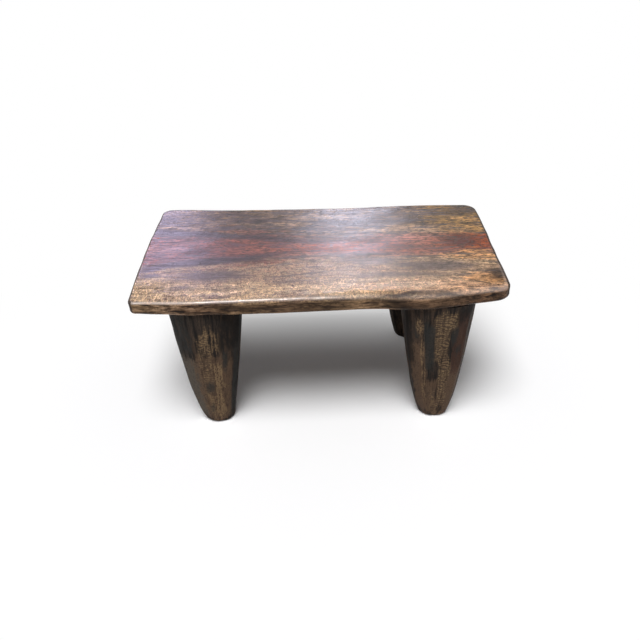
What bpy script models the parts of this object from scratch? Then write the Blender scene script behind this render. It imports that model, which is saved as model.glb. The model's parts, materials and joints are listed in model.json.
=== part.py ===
"""A low carved stool: one thick slab seat on four fat, bullet-shaped legs.

Each leg is cut in one piece with a round tenon. The tenon stands in a blind mortise
under the seat, where a fox wedge in its saw cut spreads it, so that it can't be drawn.
+Z is up, +X runs along the seat and its grain, -Y is the front, and the origin is on
the floor under the middle of the seat. Lengths are in metres.
"""

import math
from dataclasses import dataclass

import bmesh
import bpy

# The whole stool
STOOL_HEIGHT = 0.266
SEAT_LENGTH = 0.601
SEAT_WIDTH = 0.3365
SEAT_THICKNESS = 0.029

# The seat's plan: how far each side is drawn in from the straight, and its corners
BACK_WAIST = 0.0100
FRONT_TRIM = 0.0240
LEFT_END_TRIM = 0.0046
RIGHT_END_TRIM = 0.0020
CORNER_BACK_LEFT = 0.019
CORNER_BACK_RIGHT = 0.023
CORNER_FRONT_RIGHT = 0.022
CORNER_FRONT_LEFT = 0.010

# Shares of a side's draw-in. Long sides go by shares of the half length, from the left
# end at -1, and ends by shares of the half width, from the front at -1.
BACK_WAIST_SHARES = (
    (-1.00, 0.00),
    (-0.88, 0.00),
    (-0.76, 0.30),
    (-0.53, 0.76),
    (-0.23, 0.91),
    (0.08, 1.00),
    (0.23, 0.96),
    (0.46, 0.52),
    (0.69, 0.38),
    (0.84, 0.58),
    (1.00, 0.70),
)
FRONT_TRIM_SHARES = (
    (-1.00, 0.36),
    (-0.84, 0.22),
    (-0.66, 0.02),
    (-0.35, 0.00),
    (0.10, 0.18),
    (0.25, 0.25),
    (0.38, 0.15),
    (0.52, 0.03),
    (0.63, 0.13),
    (0.74, 0.42),
    (0.85, 0.70),
    (1.00, 1.00),
)
LEFT_END_SHARES = (
    (-1.00, 0.05),
    (-0.75, 0.10),
    (-0.45, 0.06),
    (-0.20, 0.00),
    (0.10, 0.00),
    (0.50, 0.42),
    (1.00, 1.00),
)
RIGHT_END_SHARES = (
    (-1.00, 0.20),
    (-0.40, 0.85),
    (0.00, 0.70),
    (0.35, 0.00),
    (0.65, 0.00),
    (1.00, 0.80),
)

# The seat's edges: crisp above, but worn to a wide roll along the front on the right
UPPER_ROUND = 0.005
LOWER_ROUND = 0.0065
ROLL_WIDTH = 0.020
ROLL_DEPTH = 0.010
ROLL_SHARES = ((-1.00, 0.00), (-0.20, 0.05), (0.10, 0.55), (0.36, 1.00), (0.60, 0.80), (1.00, 0.45))

# The top droops towards both front corners, and the droop fades on the way to the back
FRONT_DROOP = 0.0068
FRONT_DROOP_REACH = 0.075
FRONT_DROOP_SHARES = (
    (-1.00, 0.95),
    (-0.62, 0.42),
    (-0.22, 0.00),
    (0.60, 0.00),
    (0.82, 0.45),
    (1.00, 1.00),
)

# The legs: how far their axes are set in under the seat, and how their feet stray
LEG_SET_IN_LENGTH = 0.1115
LEG_SET_IN_WIDTH = 0.0602
BACK_PAIR_OFFSET = 0.013
FOOT_DRIFT = 0.0060
FOOT_SPLAY = 0.0120

# A leg's section, square-shouldered at the seat and round at the foot
LEG_TOP_HALF_LENGTH = 0.0625
LEG_TOP_HALF_WIDTH = 0.0520
FOOT_HALF_LENGTH = 0.0238
FOOT_HALF_WIDTH = 0.0235
FOOT_EDGE_ROUND = 0.0045
TOP_SQUARENESS = 2.6
FOOT_SQUARENESS = 2.1

# How deep the adze's flats are cut into a leg at its shoulder. They narrow with the leg.
FLAT_DEPTH = 0.0011

# The joint between a leg and the seat
TENON_RADIUS = 0.025
TENON_CHAMFER = 0.0012
MORTISE_ROOF = 0.009
TENON_END_SPACE = 0.0010
SAW_CUT = 0.0030
SAW_CUT_ROOT_HEIGHT = 0.0020
WEDGE_HEAD_THICKNESS = 0.0056
WEDGE_SETBACK = 0.0030
WEDGE_POINT_SPACE = 0.0012

# Fitting and cutting
FIT_GAP = 0.0003
CUT_OVERRUN = 0.002

# How finely curves are divided, and how a leg's rings crowd towards its foot
ROUND_STEPS = 5
CORNER_STEPS = 8
LONG_SIDE_STEPS = 22
SHORT_SIDE_STEPS = 8
SECTION_POINTS = 56
LEG_HEIGHT_STEPS = 12
RING_CROWDING = 1.5

# Sizes that follow from the ones above
UNDERSIDE = STOOL_HEIGHT - SEAT_THICKNESS
SHOULDER = UNDERSIDE - FIT_GAP
MORTISE_FLOOR = STOOL_HEIGHT - MORTISE_ROOF
TENON_END = MORTISE_FLOOR - TENON_END_SPACE
SAW_CUT_ROOT = SHOULDER + SAW_CUT_ROOT_HEIGHT
WEDGE_HEAD = MORTISE_FLOOR - FIT_GAP
WEDGE_POINT = SAW_CUT_ROOT + WEDGE_POINT_SPACE
SAW_CUT_MOUTH = WEDGE_HEAD_THICKNESS + 2 * FIT_GAP
TENON_SPREAD = (SAW_CUT_MOUTH - SAW_CUT) / 2

SEAT_COLOUR = (0.118, 0.058, 0.030)
LEG_COLOUR = (0.038, 0.023, 0.014)
WEDGE_COLOUR = (0.300, 0.180, 0.085)


@dataclass(frozen=True)
class Leg:
    """One hand-cut leg: where it stands, how its foot strays, and how full its taper is.

    The foot drifts along the seat and splays across it, by shares of the common sizes. A
    higher drift power leaves the drift to the last of the foot, and a lower taper power
    makes the leg fuller. Its flats face outwards at these angles in degrees from +X.
    """

    name: str
    end: int
    side: int
    drift_share: float
    drift_power: float
    splay_share: float
    taper_power: float
    flats: tuple

    @property
    def top(self):
        shift = BACK_PAIR_OFFSET if self.side > 0 else 0.0
        x = self.end * (SEAT_LENGTH / 2 - LEG_SET_IN_LENGTH) - shift
        return x, self.side * (SEAT_WIDTH / 2 - LEG_SET_IN_WIDTH)

    def centre(self, share):
        """The middle of the leg's section, at a share of the way from the floor to the seat."""
        x, y = self.top
        drift = FOOT_DRIFT * self.drift_share * (1 - share) ** self.drift_power
        splay = FOOT_SPLAY * self.splay_share * (1 - share)
        return x + drift, y + self.side * splay


LEGS = (
    Leg(
        "front_left",
        end=-1,
        side=-1,
        drift_share=1.00,
        drift_power=7,
        splay_share=0.95,
        taper_power=0.64,
        flats=(-165, -122, -77, -35, 10, 60, 100, 145),
    ),
    Leg(
        "front_right",
        end=1,
        side=-1,
        drift_share=1.00,
        drift_power=1,
        splay_share=0.85,
        taper_power=0.59,
        flats=(-170, -138, -114, -91, -64, -30, 15, 55, 95, 140),
    ),
    Leg(
        "back_left",
        end=-1,
        side=1,
        drift_share=0.60,
        drift_power=2,
        splay_share=1.05,
        taper_power=0.63,
        flats=(-120, -80, -40, 0, 42, 85, 125, 168),
    ),
    Leg(
        "back_right",
        end=1,
        side=1,
        drift_share=0.65,
        drift_power=1,
        splay_share=1.00,
        taper_power=0.66,
        flats=(-125, -85, -45, -5, 38, 80, 120, 160),
    ),
)


def smooth_through(knots, place):
    """A smooth curve through hand-chosen (place, value) pairs, which never overshoots them."""
    if place <= knots[0][0]:
        return knots[0][1]
    if place >= knots[-1][0]:
        return knots[-1][1]
    index = next(i for i in range(len(knots)) if place <= knots[i + 1][0])
    rates = [(b[1] - a[1]) / (b[0] - a[0]) for a, b in zip(knots, knots[1:])]

    def slope(i):
        if i in (0, len(rates)) or rates[i - 1] * rates[i] <= 0:
            return 0.0
        return 2 / (1 / rates[i - 1] + 1 / rates[i])

    (start, low), (end, high) = knots[index], knots[index + 1]
    span = end - start
    t = (place - start) / span
    return (
        low * (2 * t**3 - 3 * t**2 + 1)
        + high * (3 * t**2 - 2 * t**3)
        + slope(index) * span * (t**3 - 2 * t**2 + t)
        + slope(index + 1) * span * (t**3 - t**2)
    )


def seat_plan(x, y):
    """Carries a point of the straight-sided slab to the hand-shaped one."""
    half_length, half_width = SEAT_LENGTH / 2, SEAT_WIDTH / 2
    if y > 0:
        side_inset = BACK_WAIST * smooth_through(BACK_WAIST_SHARES, x / half_length)
    else:
        side_inset = FRONT_TRIM * smooth_through(FRONT_TRIM_SHARES, x / half_length)
    if x > 0:
        end_inset = RIGHT_END_TRIM * smooth_through(RIGHT_END_SHARES, y / half_width)
    else:
        end_inset = LEFT_END_TRIM * smooth_through(LEFT_END_SHARES, y / half_width)
    return x * (1 - end_inset / half_length), y * (1 - side_inset / half_width)


def straight_outline():
    """The slab's outline before shaping, as (x, y, outward x, outward y), anticlockwise."""
    half_length, half_width = SEAT_LENGTH / 2, SEAT_WIDTH / 2
    corners = (
        (1, -1, CORNER_FRONT_RIGHT, -90),
        (1, 1, CORNER_BACK_RIGHT, 0),
        (-1, 1, CORNER_BACK_LEFT, 90),
        (-1, -1, CORNER_FRONT_LEFT, 180),
    )
    arcs = []
    for end, side, radius, start in corners:
        centre_x = end * (half_length - radius)
        centre_y = side * (half_width - radius)
        arc = []
        for step in range(CORNER_STEPS + 1):
            angle = math.radians(start + 90 * step / CORNER_STEPS)
            out_x, out_y = math.cos(angle), math.sin(angle)
            arc.append((centre_x + radius * out_x, centre_y + radius * out_y, out_x, out_y))
        arcs.append(arc)
    outline = []
    side_steps = (SHORT_SIDE_STEPS, LONG_SIDE_STEPS, SHORT_SIDE_STEPS, LONG_SIDE_STEPS)
    for index, (arc, steps) in enumerate(zip(arcs, side_steps)):
        outline += arc
        start, end = arc[-1], arcs[(index + 1) % len(arcs)][0]
        for step in range(1, steps):
            share = step / steps
            outline.append(tuple(a + (b - a) * share for a, b in zip(start, end)))
    return outline


def roll_share(x, y):
    """How much of the worn roll an edge point has: all along the front right, none at the back."""
    return smooth_through(ROLL_SHARES, x / (SEAT_LENGTH / 2)) * (0.5 - y / SEAT_WIDTH)


def droop(x, y):
    """How far the top lies below the level at a point: most at the front corners."""
    across = (y + SEAT_WIDTH / 2) / FRONT_DROOP_REACH
    fade = (1 - min(max(across, 0.0), 1.0)) ** 2
    return FRONT_DROOP * smooth_through(FRONT_DROOP_SHARES, x / (SEAT_LENGTH / 2)) * fade


def shaped(point):
    """Carries a point of the straight, level slab to its place on the hand-cut one."""
    x, y, height = point
    face_foot = UNDERSIDE + LOWER_ROUND
    share = max((height - face_foot) / (STOOL_HEIGHT - face_foot), 0.0)
    return (*seat_plan(x, y), height - droop(x, y) * share)


def seat_rings():
    """The straight slab's rings from its underside, over both edges, to its top."""
    outline = straight_outline()
    rings = []
    for step in range(ROUND_STEPS + 1):
        turn = math.pi / 2 * step / ROUND_STEPS
        inset = LOWER_ROUND * (1 - math.sin(turn))
        height = UNDERSIDE + LOWER_ROUND * (1 - math.cos(turn))
        rings.append([(x - out_x * inset, y - out_y * inset, height) for x, y, out_x, out_y in outline])
    for step in range(ROUND_STEPS + 1):
        turn = math.pi / 2 * step / ROUND_STEPS
        ring = []
        for x, y, out_x, out_y in outline:
            share = roll_share(x, y)
            width = UPPER_ROUND + (ROLL_WIDTH - UPPER_ROUND) * share
            depth = UPPER_ROUND + (ROLL_DEPTH - UPPER_ROUND) * share
            inset = width * (1 - math.cos(turn))
            height = STOOL_HEIGHT - depth * (1 - math.sin(turn))
            ring.append((x - out_x * inset, y - out_y * inset, height))
        rings.append(ring)
    return rings


def rows_within(rim):
    """Rows of points that fill the top, the front rim first and the back rim last.

    The rim is split at the middles of its corners. A row starts on the left rim and ends
    on the right one. Between them, each of its points lies on the line from a point of
    the front rim to its match on the back rim, at the row's share of the way.
    """
    along = LONG_SIDE_STEPS + CORNER_STEPS
    across = SHORT_SIDE_STEPS + CORNER_STEPS
    start = CORNER_STEPS // 2
    turned = rim[start:] + rim[: start + 1]
    right = turned[: across + 1]
    back = turned[across : across + along + 1][::-1]
    left = turned[across + along : 2 * across + along + 1][::-1]
    front = turned[2 * across + along :]
    rows = [front]
    for step in range(1, across):
        share = step / across
        row = [left[step]]
        for near, far in list(zip(front, back))[1:-1]:
            row.append(tuple(a + (b - a) * share for a, b in zip(near, far)))
        rows.append([*row, right[step]])
    return [*rows, back]


def oval(centre, half_length, half_width, height, squareness=2.0):
    """A level ring: an ellipse at squareness 2, and a rounder-cornered square above it."""
    points = []
    for index in range(SECTION_POINTS):
        angle = 2 * math.pi * index / SECTION_POINTS
        cosine, sine = math.cos(angle), math.sin(angle)
        across = math.copysign(abs(cosine) ** (2 / squareness), cosine)
        along = math.copysign(abs(sine) ** (2 / squareness), sine)
        points.append((centre[0] + half_length * across, centre[1] + half_width * along, height))
    return points


def oblong(centre, half_length, half_width, height):
    """A level ring with four square corners."""
    signs = ((1, -1), (1, 1), (-1, 1), (-1, -1))
    return [(centre[0] + i * half_length, centre[1] + j * half_width, height) for i, j in signs]


def leg_section(leg, height):
    """The leg's ring at a height: a convex taper between foot and shoulder."""
    share = height / SHOULDER
    swell = share**leg.taper_power
    rounding = 0.0
    if height < FOOT_EDGE_ROUND:
        drop = 1 - height / FOOT_EDGE_ROUND
        rounding = FOOT_EDGE_ROUND * (1 - math.sqrt(1 - drop**2))
    centre = leg.centre(share)
    half_length = FOOT_HALF_LENGTH + (LEG_TOP_HALF_LENGTH - FOOT_HALF_LENGTH) * swell - rounding
    half_width = FOOT_HALF_WIDTH + (LEG_TOP_HALF_WIDTH - FOOT_HALF_WIDTH) * swell - rounding
    squareness = FOOT_SQUARENESS + (TOP_SQUARENESS - FOOT_SQUARENESS) * share
    ring = oval(centre, half_length, half_width, height, squareness)
    for facing in leg.flats:
        way = math.radians(facing)
        depth = FLAT_DEPTH * half_length / LEG_TOP_HALF_LENGTH
        reach = oval_reach(way, half_length, half_width, squareness) - depth
        ring = [hewn_back(point, centre, way, reach) for point in ring]
    return ring


def oval_reach(way, half_length, half_width, squareness):
    """How far a squared oval stands out from its middle in a direction."""
    dual = squareness / (squareness - 1)
    across = abs(half_length * math.cos(way)) ** dual
    along = abs(half_width * math.sin(way)) ** dual
    return (across + along) ** (1 / dual)


def hewn_back(point, centre, way, reach):
    """Brings a point that stands past a flat, at this reach from the middle, back to it."""
    x, y, height = point
    out_x, out_y = math.cos(way), math.sin(way)
    beyond = max((x - centre[0]) * out_x + (y - centre[1]) * out_y - reach, 0.0)
    return x - out_x * beyond, y - out_y * beyond, height


def leg_rings(leg):
    """The leg's rings from the floor to the end of its tenon."""
    rings = []
    for step in range(ROUND_STEPS):
        turn = math.pi / 2 * step / ROUND_STEPS
        rings.append(leg_section(leg, FOOT_EDGE_ROUND * (1 - math.cos(turn))))
    for step in range(LEG_HEIGHT_STEPS + 1):
        share = (step / LEG_HEIGHT_STEPS) ** RING_CROWDING
        height = FOOT_EDGE_ROUND + (SHOULDER - FOOT_EDGE_ROUND) * share
        rings.append(leg_section(leg, height))
    chamfer_start = TENON_END - TENON_CHAMFER
    rings.append(tenon_section(leg, SHOULDER, 0.0))
    rings.append(tenon_section(leg, SAW_CUT_ROOT, 0.0))
    rings.append(tenon_section(leg, chamfer_start, 0.0))
    rings.append(tenon_section(leg, TENON_END, -TENON_CHAMFER))
    return rings


def tenon_section(leg, height, extra):
    """The spread tenon's ring at a height, made larger or smaller all round by extra."""
    share = (height - SAW_CUT_ROOT) / (TENON_END - SAW_CUT_ROOT)
    spread = TENON_SPREAD * max(share, 0.0)
    radius = TENON_RADIUS + extra
    return oval(leg.top, radius + spread, radius, height)


def mortise_rings(leg):
    """The cutter for the blind mortise, undercut to hold the spread tenon."""
    return [
        tenon_section(leg, UNDERSIDE - CUT_OVERRUN, FIT_GAP),
        tenon_section(leg, SAW_CUT_ROOT, FIT_GAP),
        tenon_section(leg, MORTISE_FLOOR, FIT_GAP),
    ]


def saw_cut_half(height):
    """Half the opened saw cut's width at a height."""
    return SAW_CUT / 2 + TENON_SPREAD * (height - SAW_CUT_ROOT) / (TENON_END - SAW_CUT_ROOT)


def saw_cut_rings(leg):
    """The cutter for the saw cut across the grain of the seat, right through the tenon."""
    reach = TENON_RADIUS + CUT_OVERRUN
    past_end = TENON_END + CUT_OVERRUN
    return [
        oblong(leg.top, saw_cut_half(SAW_CUT_ROOT), reach, SAW_CUT_ROOT),
        oblong(leg.top, saw_cut_half(past_end), reach, past_end),
    ]


def wedge_rings(leg):
    """The fox wedge, thin at its point and driven home by the mortise floor on its head."""
    half_width = TENON_RADIUS - WEDGE_SETBACK
    return [
        oblong(leg.top, saw_cut_half(height) - FIT_GAP, half_width, height)
        for height in (WEDGE_POINT, WEDGE_HEAD)
    ]


def new_material(name, colour, roughness):
    """A plain finish for a piece of wood."""
    material = bpy.data.materials.new(name)
    material.use_nodes = True
    shader = material.node_tree.nodes["Principled BSDF"]
    shader.inputs["Base Color"].default_value = (*colour, 1.0)
    shader.inputs["Roughness"].default_value = roughness
    shader.inputs["Metallic"].default_value = 0.0
    return material


def loft(name, rings, material=None, soft_edge=30, top_rows=None):
    """A closed solid through rings of equal point counts, capped at both ends.

    The rows, if there are any, fill the top. Their outer points are the last ring's.
    """
    shape = bmesh.new()
    layers = [[shape.verts.new(point) for point in ring] for ring in rings]
    for lower, upper in zip(layers, layers[1:]):
        count = len(lower)
        for i in range(count):
            j = (i + 1) % count
            shape.faces.new((lower[i], lower[j], upper[j], upper[i]))
    shape.faces.new(list(reversed(layers[0])))
    if top_rows:
        rim = dict(zip(rings[-1], layers[-1]))
        rows = [[rim.get(point) or shape.verts.new(point) for point in row] for row in top_rows]
        for near, far in zip(rows, rows[1:]):
            for i in range(len(near) - 1):
                shape.faces.new((near[i], near[i + 1], far[i + 1], far[i]))
    else:
        shape.faces.new(layers[-1])
    bmesh.ops.recalc_face_normals(shape, faces=shape.faces)
    mesh = bpy.data.meshes.new(name)
    shape.to_mesh(mesh)
    shape.free()
    mesh.shade_smooth()
    mesh.set_sharp_from_angle(angle=math.radians(soft_edge))
    if material:
        mesh.materials.append(material)
    solid = bpy.data.objects.new(name, mesh)
    bpy.context.scene.collection.objects.link(solid)
    return solid


def cut_away(solid, cutter):
    """Takes the cutter's shape out of the solid, and keeps the cutter as a guide."""
    cutter.hide_render = True
    cutter.display_type = "WIRE"
    modifier = solid.modifiers.new(cutter.name, "BOOLEAN")
    modifier.operation = "DIFFERENCE"
    modifier.solver = "EXACT"
    modifier.object = cutter


def build_stool():
    """Builds the seat, the four legs and their wedges."""
    for leftover in list(bpy.data.objects):
        bpy.data.objects.remove(leftover)
    seat_wood = new_material("oiled_heartwood", SEAT_COLOUR, 0.38)
    leg_wood = new_material("dark_stained_leg_wood", LEG_COLOUR, 0.55)
    wedge_wood = new_material("pale_wedge_wood", WEDGE_COLOUR, 0.70)
    straight = seat_rings()
    rings = [[shaped(point) for point in ring] for ring in straight]
    rows = [[shaped(point) for point in row] for row in rows_within(straight[-1])]
    seat = loft("seat_slab", rings, seat_wood, top_rows=rows)
    for leg in LEGS:
        cut_away(seat, loft(f"mortise_cutter_{leg.name}", mortise_rings(leg)))
        solid = loft(f"leg_{leg.name}", leg_rings(leg), leg_wood)
        cut_away(solid, loft(f"saw_cutter_{leg.name}", saw_cut_rings(leg)))
        loft(f"fox_wedge_{leg.name}", wedge_rings(leg), wedge_wood)


build_stool()
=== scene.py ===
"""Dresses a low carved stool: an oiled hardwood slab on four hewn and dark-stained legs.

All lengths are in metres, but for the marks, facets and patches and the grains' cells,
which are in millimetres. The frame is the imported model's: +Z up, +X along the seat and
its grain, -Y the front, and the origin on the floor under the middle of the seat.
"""

import json
import logging
import math
from dataclasses import dataclass, field
from enum import Enum

import bmesh
import bpy
import numpy as np
from mathutils import Matrix, Vector

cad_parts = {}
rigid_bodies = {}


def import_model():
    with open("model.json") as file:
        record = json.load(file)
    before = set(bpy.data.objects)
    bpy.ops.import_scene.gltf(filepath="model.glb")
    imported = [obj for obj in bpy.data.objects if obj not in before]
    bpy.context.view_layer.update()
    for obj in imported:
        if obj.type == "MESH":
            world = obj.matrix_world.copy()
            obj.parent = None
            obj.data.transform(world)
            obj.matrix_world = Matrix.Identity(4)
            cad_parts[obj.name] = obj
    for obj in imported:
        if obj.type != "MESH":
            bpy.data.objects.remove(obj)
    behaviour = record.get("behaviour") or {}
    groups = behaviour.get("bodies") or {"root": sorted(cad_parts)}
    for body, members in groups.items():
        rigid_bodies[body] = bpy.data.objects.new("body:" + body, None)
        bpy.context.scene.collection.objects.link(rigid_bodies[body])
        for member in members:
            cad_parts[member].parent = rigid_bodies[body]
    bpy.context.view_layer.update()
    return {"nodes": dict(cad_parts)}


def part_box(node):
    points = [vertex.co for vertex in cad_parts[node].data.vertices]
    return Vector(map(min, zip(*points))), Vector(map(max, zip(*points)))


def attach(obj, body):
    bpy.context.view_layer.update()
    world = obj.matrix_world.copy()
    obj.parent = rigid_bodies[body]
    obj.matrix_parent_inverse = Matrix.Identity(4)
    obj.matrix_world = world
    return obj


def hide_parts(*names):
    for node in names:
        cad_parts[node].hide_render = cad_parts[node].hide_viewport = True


LOG = logging.getLogger("stool")
BODY = "root"
PHOTO_SIDE = 640
MM = 0.001
WELD = 1e-6
FULL_TURN = 2 * math.pi
WOOD_IOR = 1.5
MATH = "ShaderNodeMath"
RAMP = "ShaderNodeMapRange"
MIX = "ShaderNodeMix"
SMOOTH = {"interpolation_type": "SMOOTHSTEP"}

Pair = tuple[float, float]
Triple = tuple[float, float, float]
Knots = tuple[Pair, ...]
Array = np.ndarray
Tree = bpy.types.ShaderNodeTree
Socket = bpy.types.NodeSocket


class Tone(Enum):
    """The colours of the woods, stains, painted shade and highlight, lamps and studio, as sRGB hex values.
    """

    UMBER = "#765D46"
    UMBER_DARK = "#352922"
    OLIVE = "#7C5C2E"
    BRASS = "#A87E4A"
    GOLD = "#AC8A6C"
    HONEY = "#D8B48A"
    PEACH = "#D2A27C"
    BLUSH = "#DEBC9C"
    STRAW = "#F6E0B8"
    HEART = "#703E34"
    HEART_PINK = "#B4786A"
    HEART_RED = "#8E5240"
    HEART_ORANGE = "#8C3C08"
    HEART_DARK = "#4A1606"
    AMBER = "#CA9058"
    INK = "#2E2226"
    WINE = "#3E1419"
    SLATE = "#4E4140"
    SOOT_AND_SHADE = "#1E1714"
    PORE = "#241A14"
    FIGURE = "#4A3438"
    END_GRAIN = "#44342A"
    PAINTED_SIDE_SHADE = "#AAA5A2"
    PALE_WAX_AND_HIGHLIGHT = "#F2E2DC"
    STAIN_AND_SHADE = "#130F0D"
    STAIN_WORN = "#382E27"
    BROWN_WORN = "#4A3A2E"
    BROWN_BARE = "#5A4636"
    GREY_WORN = "#544C43"
    RUBBED = "#5E4B39"
    RUBBED_LIGHT = "#846C4F"
    RED_BROWN = "#40291F"
    BLUE_BLACK = "#252625"
    PALE_WEDGE = "#B9935F"
    PALE_WEDGE_LINE = "#94703F"
    WHITE = "#FFFFFF"
    PAPER = "#FEFEFF"
    SKY = "#E4E6FF"
    LILAC = "#E0D4FC"
    LILAC_PALE = "#F2E8FF"
    CREAM = "#FFF2E6"

    @property
    def linear(self) -> tuple[float, float, float, float]:
        """The colour as red, green and blue in linear light, and an alpha of 1."""
        parts = [int(self.value[i : i + 2], 16) / 255 for i in (1, 3, 5)]
        lit = [c / 12.92 if c <= 0.04045 else ((c + 0.055) / 1.055) ** 2.4 for c in parts]
        return (*lit, 1.0)


def add(
    tree: Tree, kind: str, inputs: dict | tuple = (), out: int | str = 0, **settings: object
) -> Socket | None:
    """Adds one node with its settings and links, and gives back one of its outputs.

    Args:
        tree: The node tree that takes the node.
        kind: The node's type, such as "ShaderNodeMath".
        inputs: The value, tone or linked socket of each input, in order or by name or number.
        out: The name or number of the output that is wanted.
        settings: The node's own properties.

    Returns:
        That output, or None for a node that has none.
    """
    node = tree.nodes.new(kind)
    for name, value in settings.items():
        setattr(node, name, value)
    for key, value in (inputs if isinstance(inputs, dict) else dict(enumerate(inputs))).items():
        if isinstance(value, Socket):
            tree.links.new(value, node.inputs[key])
        else:
            node.inputs[key].default_value = value.linear if isinstance(value, Tone) else value
    return node.outputs[out] if len(node.outputs) else None


def total(
    tree: Tree, start: Socket | float, parts: tuple[Socket, ...], weights: tuple[float, ...]
) -> Socket:
    """Adds weighted parts to a start value, in a chain of nodes.

    Args:
        tree: The material's node tree.
        start: What the parts are added to.
        parts: The values to add.
        weights: What each part is multiplied by.

    Returns:
        The sum.
    """
    for part, weight in zip(parts, weights):
        start = add(tree, MATH, (part, weight, start), operation="MULTIPLY_ADD")
    return start


def emptied(owner: bpy.types.Material | bpy.types.World) -> Tree:
    """Gives a new material or world an empty node tree.

    Args:
        owner: The material or world.

    Returns:
        Its tree.
    """
    owner.use_nodes = True
    owner.node_tree.nodes.clear()
    return owner.node_tree


def end_in_wood(tree: Tree, inputs: dict[str, object]) -> None:
    """Ends a material's tree in the shader of a wood with these inputs, and the output."""
    shader = add(tree, "ShaderNodeBsdfPrincipled", {"IOR": WOOD_IOR, **inputs})
    add(tree, "ShaderNodeOutputMaterial", (shader,))


def smooth_through(knots: Knots, places: Array) -> Array:
    """A smooth curve through given (place, value) pairs, which never overshoots them.

    Each span is a cubic. Its slope at a knot is the harmonic mean of the rates on both
    sides, or zero where the rates change sign.

    Args:
        knots: Pairs of a place and the value there, in order of place.
        places: Where to read the curve.

    Returns:
        The curve's values, in the shape of places.
    """
    at, value = np.array(knots, float).T
    span = np.diff(at)
    rate = np.diff(value) / span
    product = np.clip(rate[:-1] * rate[1:], 0, None)
    both = np.where(product > 0, rate[:-1] + rate[1:], 1.0)
    slope = np.zeros(len(at))
    slope[1:-1] = 2 * product / both
    index = np.clip(np.searchsorted(at, places) - 1, 0, len(span) - 1)
    t = np.clip((places - at[index]) / span[index], 0, 1)
    return (
        value[index] * (2 * t**3 - 3 * t**2 + 1)
        + value[index + 1] * (3 * t**2 - 2 * t**3)
        + slope[index] * span[index] * (t**3 - 2 * t**2 + t)
        + slope[index + 1] * span[index] * (t**3 - t**2)
    )


def smooth_step(low: float | Array, high: float | Array, value: Array) -> Array:
    """Rises from 0 at low to 1 at high, level at both ends."""
    t = np.clip((value - low) / (high - low), 0, 1)
    return t * t * (3 - 2 * t)


def between(low: float, high: float, fade: float, height: Array) -> Array:
    """One between two heights and zero outside them, with ends that fade this far each way."""
    return smooth_step(low - fade, low + fade, height) * smooth_step(high + fade, high - fade, height)


@dataclass(frozen=True)
class Waves:
    """A gentle uneven field between about -1 and 1, as a hand tool leaves on wood.

    It is a sum of sine waves of seeded phase, whose lengths along each axis lie between
    0.7 and 1.6 times the usual ones, over the root of twice their number.
    """

    lengths: tuple[float, ...]
    number: int
    seed: int = 0
    stretch: Pair = (0.7, 1.6)

    def at(self, *axes: Array, shift: int = 0) -> Array:
        """Reads the field at points.

        Args:
            axes: The points' places along each axis.
            shift: What is added to the seed, for another field of the same kind.

        Returns:
            One value for each point.
        """
        random = np.random.default_rng(self.seed + shift)
        stretch = random.uniform(*self.stretch, (self.number, len(self.lengths)))
        sign = random.choice((-1, 1), (self.number, len(self.lengths)))
        rates = sign * FULL_TURN / (np.array(self.lengths) * stretch)
        phases = random.uniform(0, FULL_TURN, self.number)
        turns = sum(axis[..., None] * rate for axis, rate in zip(axes, rates.T)) + phases
        return np.sin(turns).sum(axis=-1) / math.sqrt(2 * self.number)


@dataclass
class Surface:
    """A closed skin gathered from grids of points, which are welded where they meet."""

    name: str
    points: list[Array] = field(default_factory=list)
    quads: list[Array] = field(default_factory=list)
    values: dict[str, list[Array]] = field(default_factory=dict)
    count: int = 0

    def take(self, grid: Array, closed: bool = False, **values: Array | float) -> None:
        """Adds a grid of points as quads.

        Args:
            grid: Points in rows and columns.
            closed: Whether the last column joins the first.
            values: Values for each point of the grid, kept as attributes of these names.
        """
        rows, columns, _ = grid.shape
        index = np.arange(rows * columns).reshape(rows, columns) + self.count
        if closed:
            index = np.hstack([index, index[:, :1]])
        corners = (index[:-1, :-1], index[:-1, 1:], index[1:, 1:], index[1:, :-1])
        self.quads.append(np.stack([c.ravel() for c in corners], axis=1))
        self.points.append(grid.reshape(-1, 3))
        for name, value in values.items():
            self.values.setdefault(name, []).append(np.broadcast_to(value, grid.shape[:2]).ravel())
        self.count += rows * columns

    def to_object(self) -> bpy.types.Object:
        """Makes the welded mesh object, with its faces turned outwards.

        Returns:
            The new object, linked to the scene.
        """
        mesh = bpy.data.meshes.new(self.name)
        mesh.from_pydata(np.vstack(self.points).tolist(), [], np.vstack(self.quads).tolist())
        for name, value in self.values.items():
            attribute = mesh.attributes.new(name, "FLOAT", "POINT")
            attribute.data.foreach_set("value", np.concatenate(value).astype(np.float32))
        shape = bmesh.new()
        shape.from_mesh(mesh)
        bmesh.ops.remove_doubles(shape, verts=shape.verts, dist=WELD)
        bmesh.ops.recalc_face_normals(shape, faces=shape.faces)
        shape.to_mesh(mesh)
        shape.free()
        solid = bpy.data.objects.new(self.name, mesh)
        bpy.context.scene.collection.objects.link(solid)
        return solid


def cut_away(solid: bpy.types.Object, cutter: bpy.types.Object) -> None:
    """Takes the cutter's shape out of the solid for good, and removes the cutter.

    Args:
        solid: The piece that is cut.
        cutter: The closed shape that is taken away.
    """
    modifier = solid.modifiers.new("cut", "BOOLEAN")
    modifier.operation = "DIFFERENCE"
    modifier.solver = "EXACT"
    modifier.object = cutter
    graph = bpy.context.evaluated_depsgraph_get()
    whole = solid.data
    solid.data = bpy.data.meshes.new_from_object(solid.evaluated_get(graph))
    solid.modifiers.clear()
    bpy.data.meshes.remove(whole)
    bpy.data.objects.remove(cutter)


def sharpen(solid: bpy.types.Object, angle_deg: float) -> None:
    """Marks the edges past this angle as sharp, and shades the rest smooth."""
    solid.data.shade_smooth()
    solid.data.set_sharp_from_angle(angle=math.radians(angle_deg))


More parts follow.
